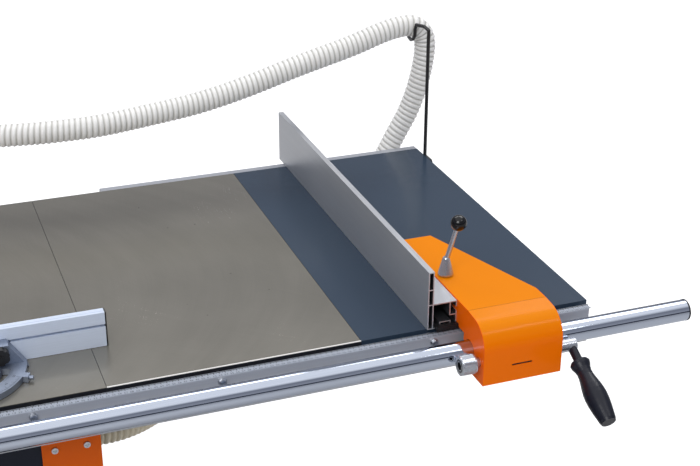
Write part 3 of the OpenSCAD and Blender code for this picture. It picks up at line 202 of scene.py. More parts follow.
# Meshes are gathered in a Shape and become one piece
class Shape:
    def __init__(self):
        self.vertices = []
        self.faces = []

    def add(self, vertices, faces, matrix=None):
        start = len(self.vertices)
        for vertex in vertices:
            self.vertices.append(tuple(matrix @ Vector(vertex)) if matrix else tuple(vertex))
        self.faces += [tuple(start + i for i in face) for face in faces]
        return self

    def slab(self, low, high, matrix=None):
        (x0, y0, z0), (x1, y1, z1) = low, high
        corners = [(x, y, z) for z in (z0, z1) for y in (y0, y1) for x in (x0, x1)]
        sides = [
            (0, 2, 3, 1), (4, 5, 7, 6), (0, 1, 5, 4), (2, 6, 7, 3), (0, 4, 6, 2), (1, 3, 7, 5),
        ]
        return self.add(corners, sides, matrix)

    # Turns a profile of (radius, height) about Z; a closed profile makes a ring
    def turned(self, profile, matrix=None, around=48, closed=False):
        vertices, rows = [], []
        for radius, height in profile:
            if radius < 1e-7:
                rows.append([len(vertices)] * around)
                vertices.append((0, 0, height))
                continue
            rows.append(list(range(len(vertices), len(vertices) + around)))
            for k in range(around):
                angle = 2 * math.pi * k / around
                vertices.append((radius * math.cos(angle), radius * math.sin(angle), height))
        faces = []
        count = len(rows)
        for i in range(count if closed else count - 1):
            below, above = rows[i], rows[(i + 1) % count]
            for k in range(around):
                j = (k + 1) % around
                corner = []
                for index in (below[k], below[j], above[j], above[k]):
                    if index not in corner:
                        corner.append(index)
                if len(corner) > 2:
                    faces.append(tuple(corner))
        return self.add(vertices, faces, matrix)

    def piece(self, name, material, body, slot, smooth=35, bevel=0.0):
        mesh = bpy.data.meshes.new(name)
        mesh.from_pydata(self.vertices, [], self.faces)
        mesh.validate()
        mesh.update()
        mesh.materials.append(material)
        if smooth:
            for polygon in mesh.polygons:
                polygon.use_smooth = True
            mesh.set_sharp_from_angle(angle=math.radians(smooth))
        piece = bpy.data.objects.new(name, mesh)
        scene.collection.objects.link(piece)
        if bevel:
            edge = piece.modifiers.new("edge", "BEVEL")
            edge.width = bevel
            edge.segments = 2
            edge.limit_method = "ANGLE"
        if body:
            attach(piece, body)
        return piece


# Puts what was made round Z at a place, along a direction
def pointing(place, direction):
    turn = Vector((0, 0, 1)).rotation_difference(Vector(direction).normalized())
    return Matrix.Translation(place) @ turn.to_matrix().to_4x4()


# Dust hose: a ribbed tube from the guard over the hanger and back to the cabinet
hose = {
    "route": [  # mm
        (0, 235, 978), (0, 250, 978), (0, 266, 978), (6, 307, 979), (23, 347, 981), (50, 382, 983),
        (85, 409, 986), (126, 426, 989), (170, 432, 992), (215, 431, 995), (262, 423, 998),
        (312, 409, 1001), (365, 396, 1003), (420, 388, 1005), (498, 384, 1008),
        (608, 394, 1015), (722, 404, 1026), (836, 411, 1049), (955, 418, 1080), (1077, 426, 1108),
        (1156, 431, 1131), (1200, 433, 1139), (1232, 434, 1138), (1254, 435, 1122),
        (1264, 436, 1095), (1262, 439, 1045), (1250, 443, 985), (1230, 448, 925),
        (1203, 452, 872), (1175, 456, 815), (1145, 458, 750), (1095, 456, 665), (1030, 440, 585),
        (945, 408, 520), (845, 360, 474), (740, 298, 450), (650, 232, 441), (582, 178, 438.5),
        (530, 136, 441), (487, 104, 445), (449, 86, 447.5), (416, 80, 448), (395, 80, 448),
        (374, 80, 448),
    ],
    "steps": 10,  # from each point of the route to the next
    "ridge": 0.0247,
    "valley": 0.0217,
    "bore": 0.0204,
    "pitch": 0.0117,
    "fullness": 0.9,  # below 1 the ribs are rounder, above 1 sharper
    "ringsPerRib": 8,
    "innerEvery": 4,  # the smooth bore needs only every fourth ring
    "around": 28,
    "cuff": 0.012,  # smooth length at each end; the ribs rise over as much again
    "split": 0.330,  # length of the part that follows the guard up and down
}
hoseLook = {
    "wall": (tint(237, 236, 233), tint(250, 249, 246)),
    # Painted shade: the colour of the rib valleys, and how sharply it meets the ribs
    "valley": tint(172, 170, 163),
    "valleyShadeEdge": 1.25,
    "warm": tint(232, 218, 186),  # the lower end looks yellower
    "warmHeights": (0.60, 0.80),
    "warmShare": 0.8,
    "cloud": 14.0,
    "grain": 260.0,
    "rough": 0.34,
    "glow": 0.08,  # painted light: the hose glows faintly, standing in for daylight through the thin wall
    "deep": 0.008,
    "bump": (0.12, 0.0006),
}


# A smooth line through the points of the route
def hoseLine(route, steps):
    points = [Vector(p) / 1000 for p in route]
    last = len(points) - 2
    line = []
    for i in range(last + 1):
        b, c = points[i], points[i + 1]
        a = 2 * b - c if i == 0 else points[i - 1]
        d = 2 * c - b if i == last else points[i + 2]
        for k in range(steps):
            t = k / steps
            line.append(
                0.5 * (2 * b + (c - a) * t + (2 * a - 5 * b + 4 * c - d) * t * t
                       + (3 * b - a - 3 * c + d) * t ** 3)
            )
    return line + [points[-1]]


# Evenly spaced rings on the line: reach, centre and two directions across it
def hoseRings(hose):
    line = hoseLine(hose["route"], hose["steps"])
    reach = [0.0]
    for a, b in zip(line, line[1:]):
        reach.append(reach[-1] + (b - a).length)
    total = reach[-1]
    count = round(total / hose["pitch"] * hose["ringsPerRib"])
    centres, i = [], 0
    for n in range(count + 1):
        s = total * n / count
        while i < len(line) - 2 and reach[i + 1] < s:
            i += 1
        centres.append(line[i].lerp(line[i + 1], (s - reach[i]) / (reach[i + 1] - reach[i])))
    side = Vector((1, 0, 0))
    rings = []
    for n, centre in enumerate(centres):
        ahead = (centres[min(n + 1, count)] - centres[max(n - 1, 0)]).normalized()
        side = (side - side.dot(ahead) * ahead).normalized()
        rings.append((total * n / count, centre, side.copy(), ahead.cross(side)))
    return total, rings


def hosePiece(name, hose, rings, total, finish):
    shape, heights = Shape(), []
    around, cuff, every = hose["around"], hose["cuff"], hose["innerEvery"]
    outer, inner = [], []
    for s, centre, side, up in rings:
        rise = min(1.0, max(0.0, min(s, total - s) - cuff) / cuff)
        for k in range(around):
            angle = 2 * math.pi * k / around
            wave = abs(math.sin(math.pi * (s / hose["pitch"] + k / around)))
            wave = wave ** hose["fullness"] * rise
            radius = hose["valley"] + (hose["ridge"] - hose["valley"]) * wave
            outer.append(centre + radius * (math.cos(angle) * side + math.sin(angle) * up))
            heights.append(wave)
    few = rings[::every] + ([] if (len(rings) - 1) % every == 0 else [rings[-1]])
    for s, centre, side, up in few:
        for k in range(around):
            angle = 2 * math.pi * k / around
            inner.append(centre + hose["bore"] * (math.cos(angle) * side + math.sin(angle) * up))
    faces = []
    start = len(outer)
    for k in range(around):
        j = (k + 1) % around
        for i in range(len(rings) - 1):
            a, b = i * around + k, i * around + j
            faces.append((a, b, b + around, a + around))
        for i in range(len(few) - 1):
            a, b = start + i * around + k, start + i * around + j
            faces.append((b, a, a + around, b + around))
        faces.append((k, start + k, start + j, j))
        a, b = (len(rings) - 1) * around, start + (len(few) - 1) * around
        faces.append((a + j, b + j, b + k, a + k))
    piece = shape.add(outer + inner, faces).piece(name, finish, None, "hose_plastic", smooth=180)
    rib = piece.data.attributes.new("ribHeight", "FLOAT", "POINT")
    rib.data.foreach_set("value", heights + [0.0] * len(inner))
    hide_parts("dust_hose")
    return piece


def hoseFinish(look):
    finish = Finish(bpy.data.materials.new("hosePlastic"))
    place = finish.place()
    rib = finish.make("ShaderNodeAttribute", {"attribute_name": "ribHeight"}, output="Fac")
    cloud = finish.noise(place, look["cloud"])
    fine = finish.noise(place, look["grain"], 2.0)
    wall = finish.mix(finish.limit(cloud * 1.4 - 0.2), *look["wall"])
    # Painted shade darkens the rib valleys
    tone = finish.mix(finish.limit(rib * look["valleyShadeEdge"]), look["valley"], wall)
    high = finish.above(finish.parts(place)[2], *look["warmHeights"])
    tone = finish.mix((1.0 - high) * look["warmShare"], tone, look["warm"])
    return finish.shade({
        "Base Color": tone,
        "Roughness": look["rough"] - 0.12 * rib + 0.10 * fine,
        "Subsurface Weight": 0.35,
        "Subsurface Radius": (1, 1, 1),
        "Subsurface Scale": look["deep"],
        # Painted light: the hose glows a little in its own colour
        "Emission Color": tone,
        "Emission Strength": look["glow"],
        "Normal": finish.bump(fine, *look["bump"]),
    })


total, rings = hoseRings(hose)
splitAt = min(range(len(rings)), key=lambda i: abs(rings[i][0] - hose["split"]))
plastic = hoseFinish(hoseLook)
guardHose = hosePiece("guard_hose", hose, rings[: splitAt + 1], total, plastic)
longHose = hosePiece("long_hose", hose, rings[splitAt:], total, plastic)
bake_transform(guardHose)
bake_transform(longHose)
total - rings[splitAt][0]
print("hose made,", round(total, 3), "m long with", round(total / hose["pitch"]), "ribs")


# Floor, world and lamps
studio = {
    "floorColour": (0.58, 0.58, 0.58, 1),
    "floorGlow": 0.68,  # what the camera sees on top of the lit floor
    "dark": (0.0, 0.33, 0.0, 0.265),  # painted shadow: floor inside the cabinet, where the camera glow is left out: middle and half size, x then y
    "floorSize": 30,  # half its width
    "sky": [  # from the horizon, 0, to straight up, 1
        (0.0, (0.28, 0.29, 0.33)),
        (0.03, (0.03, 0.035, 0.05)),  # a dark strip that polished metal mirrors
        (0.14, (0.03, 0.035, 0.05)),
        (0.21, (0.38, 0.39, 0.43)),
        (0.62, (0.25, 0.26, 0.30)),
        (0.82, (1.08, 1.08, 1.10)),
    ],
    "lamps": [  # place, target, width, height, watts
        ((-1.5, -3.2, 3.8), (0.6, -0.1, 0.8), 2.6, 2.0, 86.0),
        ((3.4, 1.8, 4.2), (0.8, 0.0, 0.9), 2.4, 1.8, 46.0),
        ((0.6, 3.0, 4.6), (0.6, 0.0, 0.8), 3.0, 1.6, 42.0),
        ((2.30, -1.94, 3.19), (1.045, -0.47, 0.88), 0.5, 0.35, 4.0),
    ],
}


def makeStudio(studio):
    mesh = bpy.data.meshes.new("studio_floor")
    size = studio["floorSize"]
    corners = [(-size, -size, 0), (size, -size, 0), (size, size, 0), (-size, size, 0)]
    mesh.from_pydata(corners, [], [(0, 1, 2, 3)])
    floor = bpy.data.objects.new("studio_floor", mesh)
    scene.collection.objects.link(floor)
    finish = Finish(bpy.data.materials.new("floor"))
    paper = finish.make("ShaderNodeBsdfDiffuse", {}, {"Color": studio["floorColour"]})
    spot = finish.parts(finish.place())
    middleX, halfX, middleY, halfY = studio["dark"]
    # Painted shadow: the camera glow is left out on the floor under the cabinet
    shadedFloor = finish.close(spot[0], middleX, halfX) * finish.close(spot[1], middleY, halfY)
    seen = finish.make("ShaderNodeLightPath", output="Is Camera Ray") * (1.0 - shadedFloor)
    glow = finish.make("ShaderNodeEmission", {}, {"Strength": seen * studio["floorGlow"]})
    both = finish.make("ShaderNodeAddShader", {}, {0: paper, 1: glow})
    finish.make("ShaderNodeOutputMaterial", {}, {"Surface": both})
    mesh.materials.append(finish.owner)
    world = bpy.data.worlds.new("studio")
    scene.world = world
    sky = Finish(world)
    way = sky.make("ShaderNodeTexCoord", output="Generated")
    height = sky.parts(way)[2]
    colour = sky.make("ShaderNodeValToRGB", {"stops": studio["sky"]}, {"Fac": height})
    camera = sky.make("ShaderNodeLightPath", output="Is Camera Ray")
    colour = sky.mix(camera, colour, (1, 1, 1, 1))
    light = sky.make("ShaderNodeBackground", {}, {"Color": colour, "Strength": 1.0})
    sky.make("ShaderNodeOutputWorld", {}, {"Surface": light})
    for i, (place, target, width, depth, watts) in enumerate(studio["lamps"]):
        data = bpy.data.lights.new(f"lamp{i}", "AREA")
        data.shape = "RECTANGLE"
        data.size, data.size_y, data.energy = width, depth, watts
        lamp = bpy.data.objects.new(f"lamp{i}", data)
        scene.collection.objects.link(lamp)
        lamp.location = place
        aim = Vector(target) - Vector(place)
        lamp.rotation_euler = aim.to_track_quat("-Z", "Y").to_euler()


makeStudio(studio)
print("studio made")


# How much painted shade the socket of a screw that lies along X gets, and the ring round it
def wellDepth(finish, place, shadedSocket):
    x, y, z = finish.parts(place)
    radius = finish.distance(y - shadedSocket["axis"][0], z - shadedSocket["axis"][1])
    head = finish.maths("LESS_THAN", radius, shadedSocket["head"])
    ring = finish.maths("LESS_THAN", radius, shadedSocket["ring"]) - head
    face = finish.maths("LESS_THAN", x, shadedSocket["face"])
    within = head * (1.0 - face) * finish.maths("LESS_THAN", x, shadedSocket["bottom"])
    return finish.limit(ring * face + within) * shadedSocket["share"]


# Finishes. A plain surface has a colour, clouding, a fine grain and specks; cloud and grain are a
# scale and a strength. The fence's cover also has painted shade: a dark line on its crease, and
# redder colours below and aside
plain = {
    "grainShare": 0.8,
    "uneven": 0.08,  # how far the roughness wanders
    "speckEdge": 1.6,
    "creaseShade": 0.3,
}


def surface(name, colour, rough=0.4, metal=0.0, coat=0.0, cloud=(9.0, 0.06), grain=(500.0, 0.1),
            stretch=(1, 1, 1), depth=0.0002, speck=None, spec=0.5, coatRough=0.1, shadedCrease=None,
            shadeBelow=None, sides=None, shadedSocket=None):
    finish = Finish(bpy.data.materials.new(name))
    place = finish.place()
    clouds = finish.noise(place, cloud[0], 4.0)
    fine = finish.noise(finish.stretched(place, stretch), grain[0], 3.0, 0.6)
    faint, strong = cloud[1] * 2, cloud[1] * 3
    base = finish.mix(clouds, lighter(colour, 1 - faint), lighter(colour, 1 + faint))
    base = finish.mix(fine * plain["grainShare"], base, lighter(colour, 1 - strong))
    # Painted shade: a deeper, redder colour below a height
    if shadeBelow:
        low, high, deep = shadeBelow
        base = finish.mix(finish.above(finish.parts(place)[2], low, high), deep, base)
    # Painted shade: a redder colour on the side faces, at these x planes
    if sides:
        shadedPlanes, width, shade = sides
        for plane in shadedPlanes:
            base = finish.mix(finish.close(finish.parts(place)[0], plane, width), base, shade)
    # Painted shade in a screw's socket and the ring round it
    if shadedSocket:
        base = finish.mix(wellDepth(finish, place, shadedSocket), base, shadedSocket["colour"])
    if speck:
        scale, size, shade = speck
        spots = finish.specks(place, scale, size, size * plain["speckEdge"])
        base = finish.mix(spots, base, shade)
    # Painted shade: a dark line along the crease
    if shadedCrease:
        middle, width, height, share = shadedCrease
        x, y, z = finish.parts(place)
        line = finish.close(y, middle, width) * finish.maths("GREATER_THAN", z, height)
        base = finish.mix(line * share, base, lighter(colour, plain["creaseShade"]))
    wander = (fine - 0.5) * plain["uneven"] + (clouds - 0.5) * plain["uneven"]
    return finish.shade({
        "Base Color": base,
        "Metallic": metal,
        "Roughness": rough + wander,
        "Coat Weight": coat,
        "Coat Roughness": coatRough,
        "Specular IOR Level": spec,
        "Normal": finish.bump(fine, grain[1], depth),
    })


# Ground cast iron: crossing arcs of the grinder, dark pores, sides painted dark below a painted
# highlight on the front edge, and painted shade in the seams
iron = {
    "colour": tint(149, 145, 136),
    "shade": tint(129, 126, 117),
    "side": tint(20, 22, 30),
    "rough": 0.25,
    "metal": 0.6,
    "arc": 1.15,  # bend of the grinding arcs, per metre
    "arcShift": 0.22,  # from the first pass of the grinder to the second
    "firstPass": (620.0, 9.0, 0.0),  # scale across the arcs, along them, and layer
    "secondPass": (540.0, 8.0, 3.0),
    "widePass": (26.0, 3.0, 5.0),
    "cloud": 5.0,
    "grain": 320.0,
    "pores": (16.0, 0.024, 0.040, 0.45, tint(72, 70, 66)),  # scale, sizes, share, colour
    "crumbs": (120.0, 0.06, 0.12, 0.10, tint(90, 88, 84)),
    "edge": 0.8489,  # height where the paint of the sides begins
    "seams": (0.3432, 0.7899),  # where one table meets the next, with painted shade in the seam
    "seamWidth": 0.0006,
    "seamShade": tint(48, 46, 44),
    "seamShare": 0.75,
    "edgeHighlight": (-0.4, 0.0026, 0.3436, tint(246, 244, 240)),  # painted highlight along the front edge, from an x on
    "edgeHighlightShare": 0.9,
    "bump": (0.14, 0.0003),
}


# Marks that one pass of the grinder leaves along its arcs
def grinding(finish, across, y, scales, *detail):
    wide, long, layer = scales
    return finish.noise(finish.joined(across * wide, y * long, layer), 1.0, *detail)


def groundIron(name, iron):
    finish = Finish(bpy.data.materials.new(name))
    place = finish.place()
    x, y, z = finish.parts(place)
    shifted = y - iron["arcShift"]
    onward = x + y * y * iron["arc"]
    back = x - shifted * shifted * iron["arc"]
    first = grinding(finish, onward, y, iron["firstPass"], 3.0, 0.65)
    second = grinding(finish, back, y, iron["secondPass"], 3.0, 0.65)
    wide = grinding(finish, onward, y, iron["widePass"], 2.0)
    cloud = finish.noise(place, iron["cloud"], 4.0)
    marks = first * 0.5 + second * 0.5
    tone = finish.limit(0.5 + (marks - 0.5) * 0.8 + (wide - 0.5) * 0.5 + (cloud - 0.5) * 0.8)
    base = finish.mix(tone, iron["shade"], iron["colour"])
    for scale, small, large, share, colour in (iron["pores"], iron["crumbs"]):
        base = finish.mix(finish.specks(place, scale, small, large) * share, base, colour)
    # Painted shade in the seams between the tables
    for seam in iron["seams"]:
        near = finish.close(x, seam, iron["seamWidth"])
        base = finish.mix(near * iron["seamShare"], base, iron["seamShade"])
    # Painted highlight along the front edge
    front, width, start, bright = iron["edgeHighlight"]
    edgeHighlight = finish.close(y, front, width) * finish.maths("GREATER_THAN", x, start)
    base = finish.mix(edgeHighlight * iron["edgeHighlightShare"], base, bright)
    side = finish.maths("LESS_THAN", z, iron["edge"])
    sideOrHighlight = finish.limit(side + edgeHighlight)
    grain = finish.noise(place, iron["grain"], 3.0)
    return finish.shade({
        "Base Color": finish.mix(side, base, iron["side"]),
        "Metallic": iron["metal"] - sideOrHighlight * iron["metal"],
        "Roughness": iron["rough"] + (marks - 0.5) * 0.10 + (cloud - 0.5) * 0.08 + side * 0.25,
        "Normal": finish.bump(marks * 0.4 + grain * side, *iron["bump"]),
    })


# Extruded aluminium: fine die lines along it, satin anodising, and painted shade in the hollows
# behind its end
extrusion = {
    "lineLength": 0.012,  # scale along the lines, where 1 would give dots
    "wideLines": 14,  # so many fine lines to a wide one
    "cloud": 7.0,
    "depth": 0.00015,
    "hollowShade": tint(34, 37, 48),
    "hollowShadeShare": 0.88,
}


def extruded(name, colour, along, rough=0.36, lines=900.0, depth=0.18, metal=0.9, shadedHollows=(),
             end=0.0):
    finish = Finish(bpy.data.materials.new(name))
    place = finish.place()
    stretch = [extrusion["lineLength"] if axis == along else 1.0 for axis in "xyz"]
    fine = finish.noise(finish.stretched(place, stretch), lines, 3.0, 0.6)
    wide = finish.noise(finish.stretched(place, stretch), lines / extrusion["wideLines"], 2.0)
    cloud = finish.noise(place, extrusion["cloud"], 3.0)
    tone = finish.limit(0.5 + (fine - 0.5) * 0.7 + (wide - 0.5) * 0.5 + (cloud - 0.5) * 0.4)
    base = finish.mix(tone, lighter(colour, 0.88), lighter(colour, 1.08))
    x, y, z = finish.parts(place)
    # Painted shade inside the hollows, behind the end face
    for x0, x1, z0, z1 in shadedHollows:
        inside = finish.close(x, (x0 + x1) / 2, (x1 - x0) / 2)
        inside = inside * finish.close(z, (z0 + z1) / 2, (z1 - z0) / 2)
        inside = inside * finish.maths("GREATER_THAN", y, end)
        base = finish.mix(inside * extrusion["hollowShadeShare"], base, extrusion["hollowShade"])
    return finish.shade({
        "Base Color": base,
        "Metallic": metal,
        "Roughness": rough + (fine - 0.5) * 0.18 + (cloud - 0.5) * 0.08,
        "Normal": finish.bump(fine, depth, extrusion["depth"]),
    })


# Turned or ground steel: rings round an axis through a point, and another colour past a radius
turning = {"rings": 1400.0, "cloud": 24.0, "bump": (0.15, 0.0001)}


def turnedSteel(name, colour, axis, centre, rough=0.3, tip=None):
    finish = Finish(bpy.data.materials.new(name))
    place = finish.place()
    shares = finish.parts(place)
    across = [shares[i] - centre[i] for i in range(3) if "xyz"[i] != axis]
    radius = finish.distance(*across)
    line = shares["xyz".index(axis)]
    rings = turning["rings"]
    fine = finish.noise(finish.joined(radius * rings, line * rings, 0.0), 1.0, 3.0, 0.6)
    cloud = finish.noise(place, turning["cloud"], 3.0)
    base = finish.mix(fine, lighter(colour, 0.86), lighter(colour, 1.08))
    base = finish.mix((cloud - 0.35) * 0.35, base, lighter(colour, 0.75))
    rougher = rough + (fine - 0.5) * 0.2 + (cloud - 0.5) * 0.1
    if tip:
        beyond = finish.maths("GREATER_THAN", radius, tip[0])
        base = finish.mix(beyond, base, tip[1])
        rougher = rougher + beyond * 0.15
    return finish.shade({
        "Base Color": base,
        "Metallic": 1.0,
        "Roughness": rougher,
        "Normal": finish.bump(fine, *turning["bump"]),
    })


orangeGloss = dict(
    rough=0.40, spec=0.03, coat=0.15, coatRough=0.15, cloud=(6.0, 0.02), grain=(420.0, 0.30),
    depth=0.0004,
)
darkPaint = dict(rough=0.45, spec=0.25, grain=(650.0, 0.26), depth=0.0003)
moulded = dict(grain=(600.0, 0.06), cloud=(20.0, 0.08))
steel = tint(186, 188, 192)
bladeCentre = (0, 0, 0.7925)
motorCentre = (0, 0, 0.6225)
liftCentre = (-0.06, -0.10, 0)
clampAxis = (-0.5, 0.826)  # y and z of the clamp's shaft, which lies along X
clampSocketShade = {
    "axis": clampAxis,
    "face": 0.9333,  # x of the knob's face
    "bottom": 0.9425,  # x down to which its socket gets painted shade
    "head": 0.0088,  # radius of the socket
    "ring": 0.0122,  # outer radius of the ring of painted shade round it
    "share": 0.9,
    "colour": tint(24, 24, 28),
}
# Hollows of the fence, given painted shade: x from and to, z from and to
fenceShadedHollows = [(0.9150, 0.9224, 0.8523, 0.9617), (0.9240, 0.9671, 0.8523, 0.8982)]

finishes = {
    "framePaint": surface("framePaint", tint(44, 47, 52), **darkPaint),
    "panelPaint": surface("panelPaint", tint(21, 28, 46), **darkPaint),
    "platePaint": surface("platePaint", tint(255, 110, 24), **orangeGloss),
    # Painted shade on the cover: a dark line on its crease, a redder colour low down and on its
    # sides
    "coverPaint": surface(
        "coverPaint", tint(236, 134, 0), shadedCrease=(-0.449, 0.0007, 0.899, 0.6),
        shadeBelow=(0.855, 0.895, tint(253, 118, 1)),
        sides=((0.9694, 1.1210), 0.0008, tint(252, 106, 8)), **orangeGloss
    ),
    "beamPaint": surface("beamPaint", tint(36, 38, 44), **darkPaint),
    "ductPaint": surface("ductPaint", tint(88, 92, 96), **darkPaint),
    "motorPaint": surface("motorPaint", tint(58, 62, 68), **darkPaint),
    "bluePaint": surface(
        "bluePaint", tint(47, 63, 81), rough=0.24, coat=0.16, coatRough=0.14, spec=0.34,
        cloud=(3.0, 0.05), grain=(380.0, 0.10), depth=0.0003,
    ),
    "zinc": surface(
        "zinc", tint(200, 203, 208), rough=0.28, metal=1.0, cloud=(60.0, 0.06), grain=(900.0, 0.12)
    ),
    "groundIron": groundIron("groundIron", iron),
    "rawIron": surface(
        "rawIron", tint(96, 98, 102), rough=0.62, metal=0.15, cloud=(30.0, 0.08),
        grain=(260.0, 0.5), depth=0.0008,
    ),
    "insertAlu": extruded("insertAlu", tint(180, 182, 186), "y"),
    "railAlu": extruded("railAlu", tint(187, 190, 197), "x", rough=0.34, metal=0.45),
    "fenceAlu": extruded(
        "fenceAlu", tint(204, 206, 210), "y", rough=0.36, metal=0.68, shadedHollows=fenceShadedHollows,
        end=-0.404,
    ),
    "gaugeAlu": extruded("gaugeAlu", tint(218, 229, 248), "x", rough=0.32, metal=0.15),
    "castAlu": surface(
        "castAlu", tint(150, 160, 178), rough=0.42, metal=0.8, cloud=(50.0, 0.08),
        grain=(330.0, 0.4), depth=0.0005, speck=(420.0, 0.10, tint(104, 108, 116)),
    ),
    "scaleAlu": extruded("scaleAlu", tint(158, 165, 177), "x", rough=0.5, metal=0.4),
    "barChrome": extruded(
        "barChrome", tint(197, 205, 220), "x", rough=0.07, lines=700.0, depth=0.04, metal=1.0
    ),
    "satinChrome": surface(
        "satinChrome", tint(200, 204, 212), rough=0.24, metal=0.85, cloud=(80.0, 0.04),
        grain=(900.0, 0.08), shadedSocket=clampSocketShade,
    ),
    "blackPlastic": surface(
        "blackPlastic", tint(27, 27, 29), rough=0.42, grain=(900.0, 0.18), cloud=(20.0, 0.08)
    ),
    "handlePlastic": surface(
        "handlePlastic", tint(22, 25, 38), rough=0.36, coat=0.12, coatRough=0.2, spec=0.3,
        grain=(500.0, 0.12), cloud=(20.0, 0.08),
    ),
    "ballPlastic": surface(
        "ballPlastic", tint(12, 12, 15), rough=0.16, coat=0.12, coatRough=0.08, spec=0.4,
        grain=(300.0, 0.03),
    ),
    "blackRod": surface("blackRod", tint(24, 24, 26), rough=0.28, coat=0.3, grain=(700.0, 0.12)),
    "greenPlastic": surface("greenPlastic", tint(40, 140, 62), rough=0.25, coat=0.3, **moulded),
    "redPlastic": surface("redPlastic", tint(196, 32, 26), rough=0.25, coat=0.3, **moulded),
    "guardPlastic": surface(
        "guardPlastic", tint(226, 112, 30), rough=0.28, coat=0.2, cloud=(12.0, 0.03),
        grain=(500.0, 0.10),
    ),
    "beltRubber": surface("beltRubber", tint(30, 30, 32), rough=0.75, grain=(400.0, 0.4)),
    "arborSteel": turnedSteel("arborSteel", steel, "x", bladeCentre),
    "bladeSteel": turnedSteel(
        "bladeSteel", tint(200, 202, 206), "x", bladeCentre, rough=0.24,
        tip=(0.1515, tint(150, 150, 150)),
    ),
    "pulleySteel": turnedSteel("pulleySteel", tint(150, 152, 156), "x", motorCentre, rough=0.36),
    "screwSteel": turnedSteel("screwSteel", steel, "z", liftCentre, rough=0.32),
    "flatSteel": surface(
        "flatSteel", steel, rough=0.32, metal=1.0, stretch=(1, 0.03, 1), cloud=(12.0, 0.05),
        grain=(900.0, 0.16),
    ),
    "hardChrome": surface(
        "hardChrome", tint(222, 224, 228), rough=0.12, metal=1.0, stretch=(1, 1, 0.05),
        grain=(800.0, 0.05),
    ),
    "inkBlack": surface("inkBlack", tint(30, 32, 38), rough=0.5, grain=(800.0, 0.05)),
    "markWhite": surface("markWhite", tint(232, 232, 230), rough=0.4, grain=(800.0, 0.05)),
}

dressed = {
    "framePaint": ["base_frame"],
    "panelPaint": ["front_panel", "rear_panel", "left_panel", "right_panel"],
    "platePaint": ["corner_plate"],
    "zinc": ["screws"],
    "groundIron": ["main_table", "cast_extension"],
    "insertAlu": ["table_insert"],
    "bluePaint": ["steel_extension"],
    "beamPaint": ["support_beams"],
    "railAlu": ["front_rail", "rear_rail"],
    "scaleAlu": ["rail_scale"],
    "barChrome": ["guide_bar"],
    "blackPlastic": ["bar_end_caps", "dust_port", "switch_box", "mains_inlet", "lift_handwheel",
                     "tilt_handwheel", "fence_glide", "mitre_end_caps", "mitre_knob"],
    "flatSteel": ["bar_spacers", "riving_knife", "mitre_bar"],
    "blackRod": ["hose_hanger", "hanger_clamp"],
    "ductPaint": ["dust_chute"],
    "greenPlastic": ["start_button"],
    "redPlastic": ["stop_button"],
    "rawIron": ["trunnions", "tilt_bearings", "tilt_cradle", "arbor_carriage", "fence_carriage"],
    "fenceAlu": ["carriage_beam", "rip_fence", "sliding_table"],
    "gaugeAlu": ["mitre_fence", "crosscut_fence"],
    "castAlu": ["mitre_head"],
    "hardChrome": ["guide_columns"],
    "motorPaint": ["motor"],
    "guardPlastic": ["blade_guard"],
    "beltRubber": ["drive_belt"],
    "arborSteel": ["arbor_shaft", "blade_clamp", "arbor_pulley"],
    "bladeSteel": ["saw_blade"],
    "pulleySteel": ["motor_pulley"],
    "screwSteel": ["lift_screw"],
    "coverPaint": ["fence_cover"],
    "satinChrome": ["fence_lever", "clamp_shaft"],
    "ballPlastic": ["lever_ball"],
    "handlePlastic": ["clamp_handle"],
}
bare = set(nodes) - {name for group in dressed.values() for name in group} - {"dust_hose"}
assert not bare, bare
for finish, group in dressed.items():
    for name in group:
        materials = nodes[name].data.materials
        if not len(materials):
            materials.append(finishes[finish])
        for i in range(len(materials)):
            materials[i] = finishes[finish]
print("finishes on", sum(len(group) for group in dressed.values()), "nodes")


# Marks and figures of the scales. Lengths of marks are for ones, fives and tens
printing = {
    "below": 0.0001,  # how deep a mark goes into the surface, and how far it stands out
    "above": 0.00006,
    "spacing": 0.56,  # from digit to digit, as a share of their size
    "thick": 0.01,
    "flat": 0.6,
}


# One mesh for each digit
def digitMeshes():
    digits = {}
    for digit in "0123456789":
        curve = bpy.data.curves.new("digit" + digit, "FONT")
        curve.body = digit
        curve.size = 1.0
        curve.extrude = printing["thick"]
        curve.resolution_u = 2
        curve.align_x = "CENTER"
        thing = bpy.data.objects.new("digit" + digit, curve)
        scene.collection.objects.link(thing)
        bpy.context.view_layer.update()
        mesh = thing.evaluated_get(bpy.context.evaluated_depsgraph_get()).to_mesh()
        digits[digit] = (
            [tuple(v.co) for v in mesh.vertices], [tuple(p.vertices) for p in mesh.polygons]
        )
        bpy.data.objects.remove(thing)
        bpy.data.curves.remove(curve)
    return digits


digits = digitMeshes()


def figure(shape, text, size, place, turn=0.0):
    spot = Matrix.Translation(place) @ Matrix.Rotation(turn, 4, "Z")
    scaled = Matrix.Diagonal((size, size, size * printing["flat"], 1))
    for i, digit in enumerate(text):
        aside = (i - (len(text) - 1) / 2) * printing["spacing"] * size
        vertices, faces = digits[digit]
        shape.add(vertices, faces, spot @ Matrix.Translation((aside, 0, 0)) @ scaled)


def markLength(number, lengths):
    return lengths[2 if number % 10 == 0 else 1 if number % 5 == 0 else 0]


railScale = {
    "top": 0.847,
    "back": -0.4103,
    "first": 0.0,
    "last": 1.232,
    "lengths": (0.0028, 0.0044, 0.0062),
    "width": 0.00074,
    "wider": 1.5,  # marks of tens
    "figures": 0.0062,
    "figuresBack": 0.0136,
}


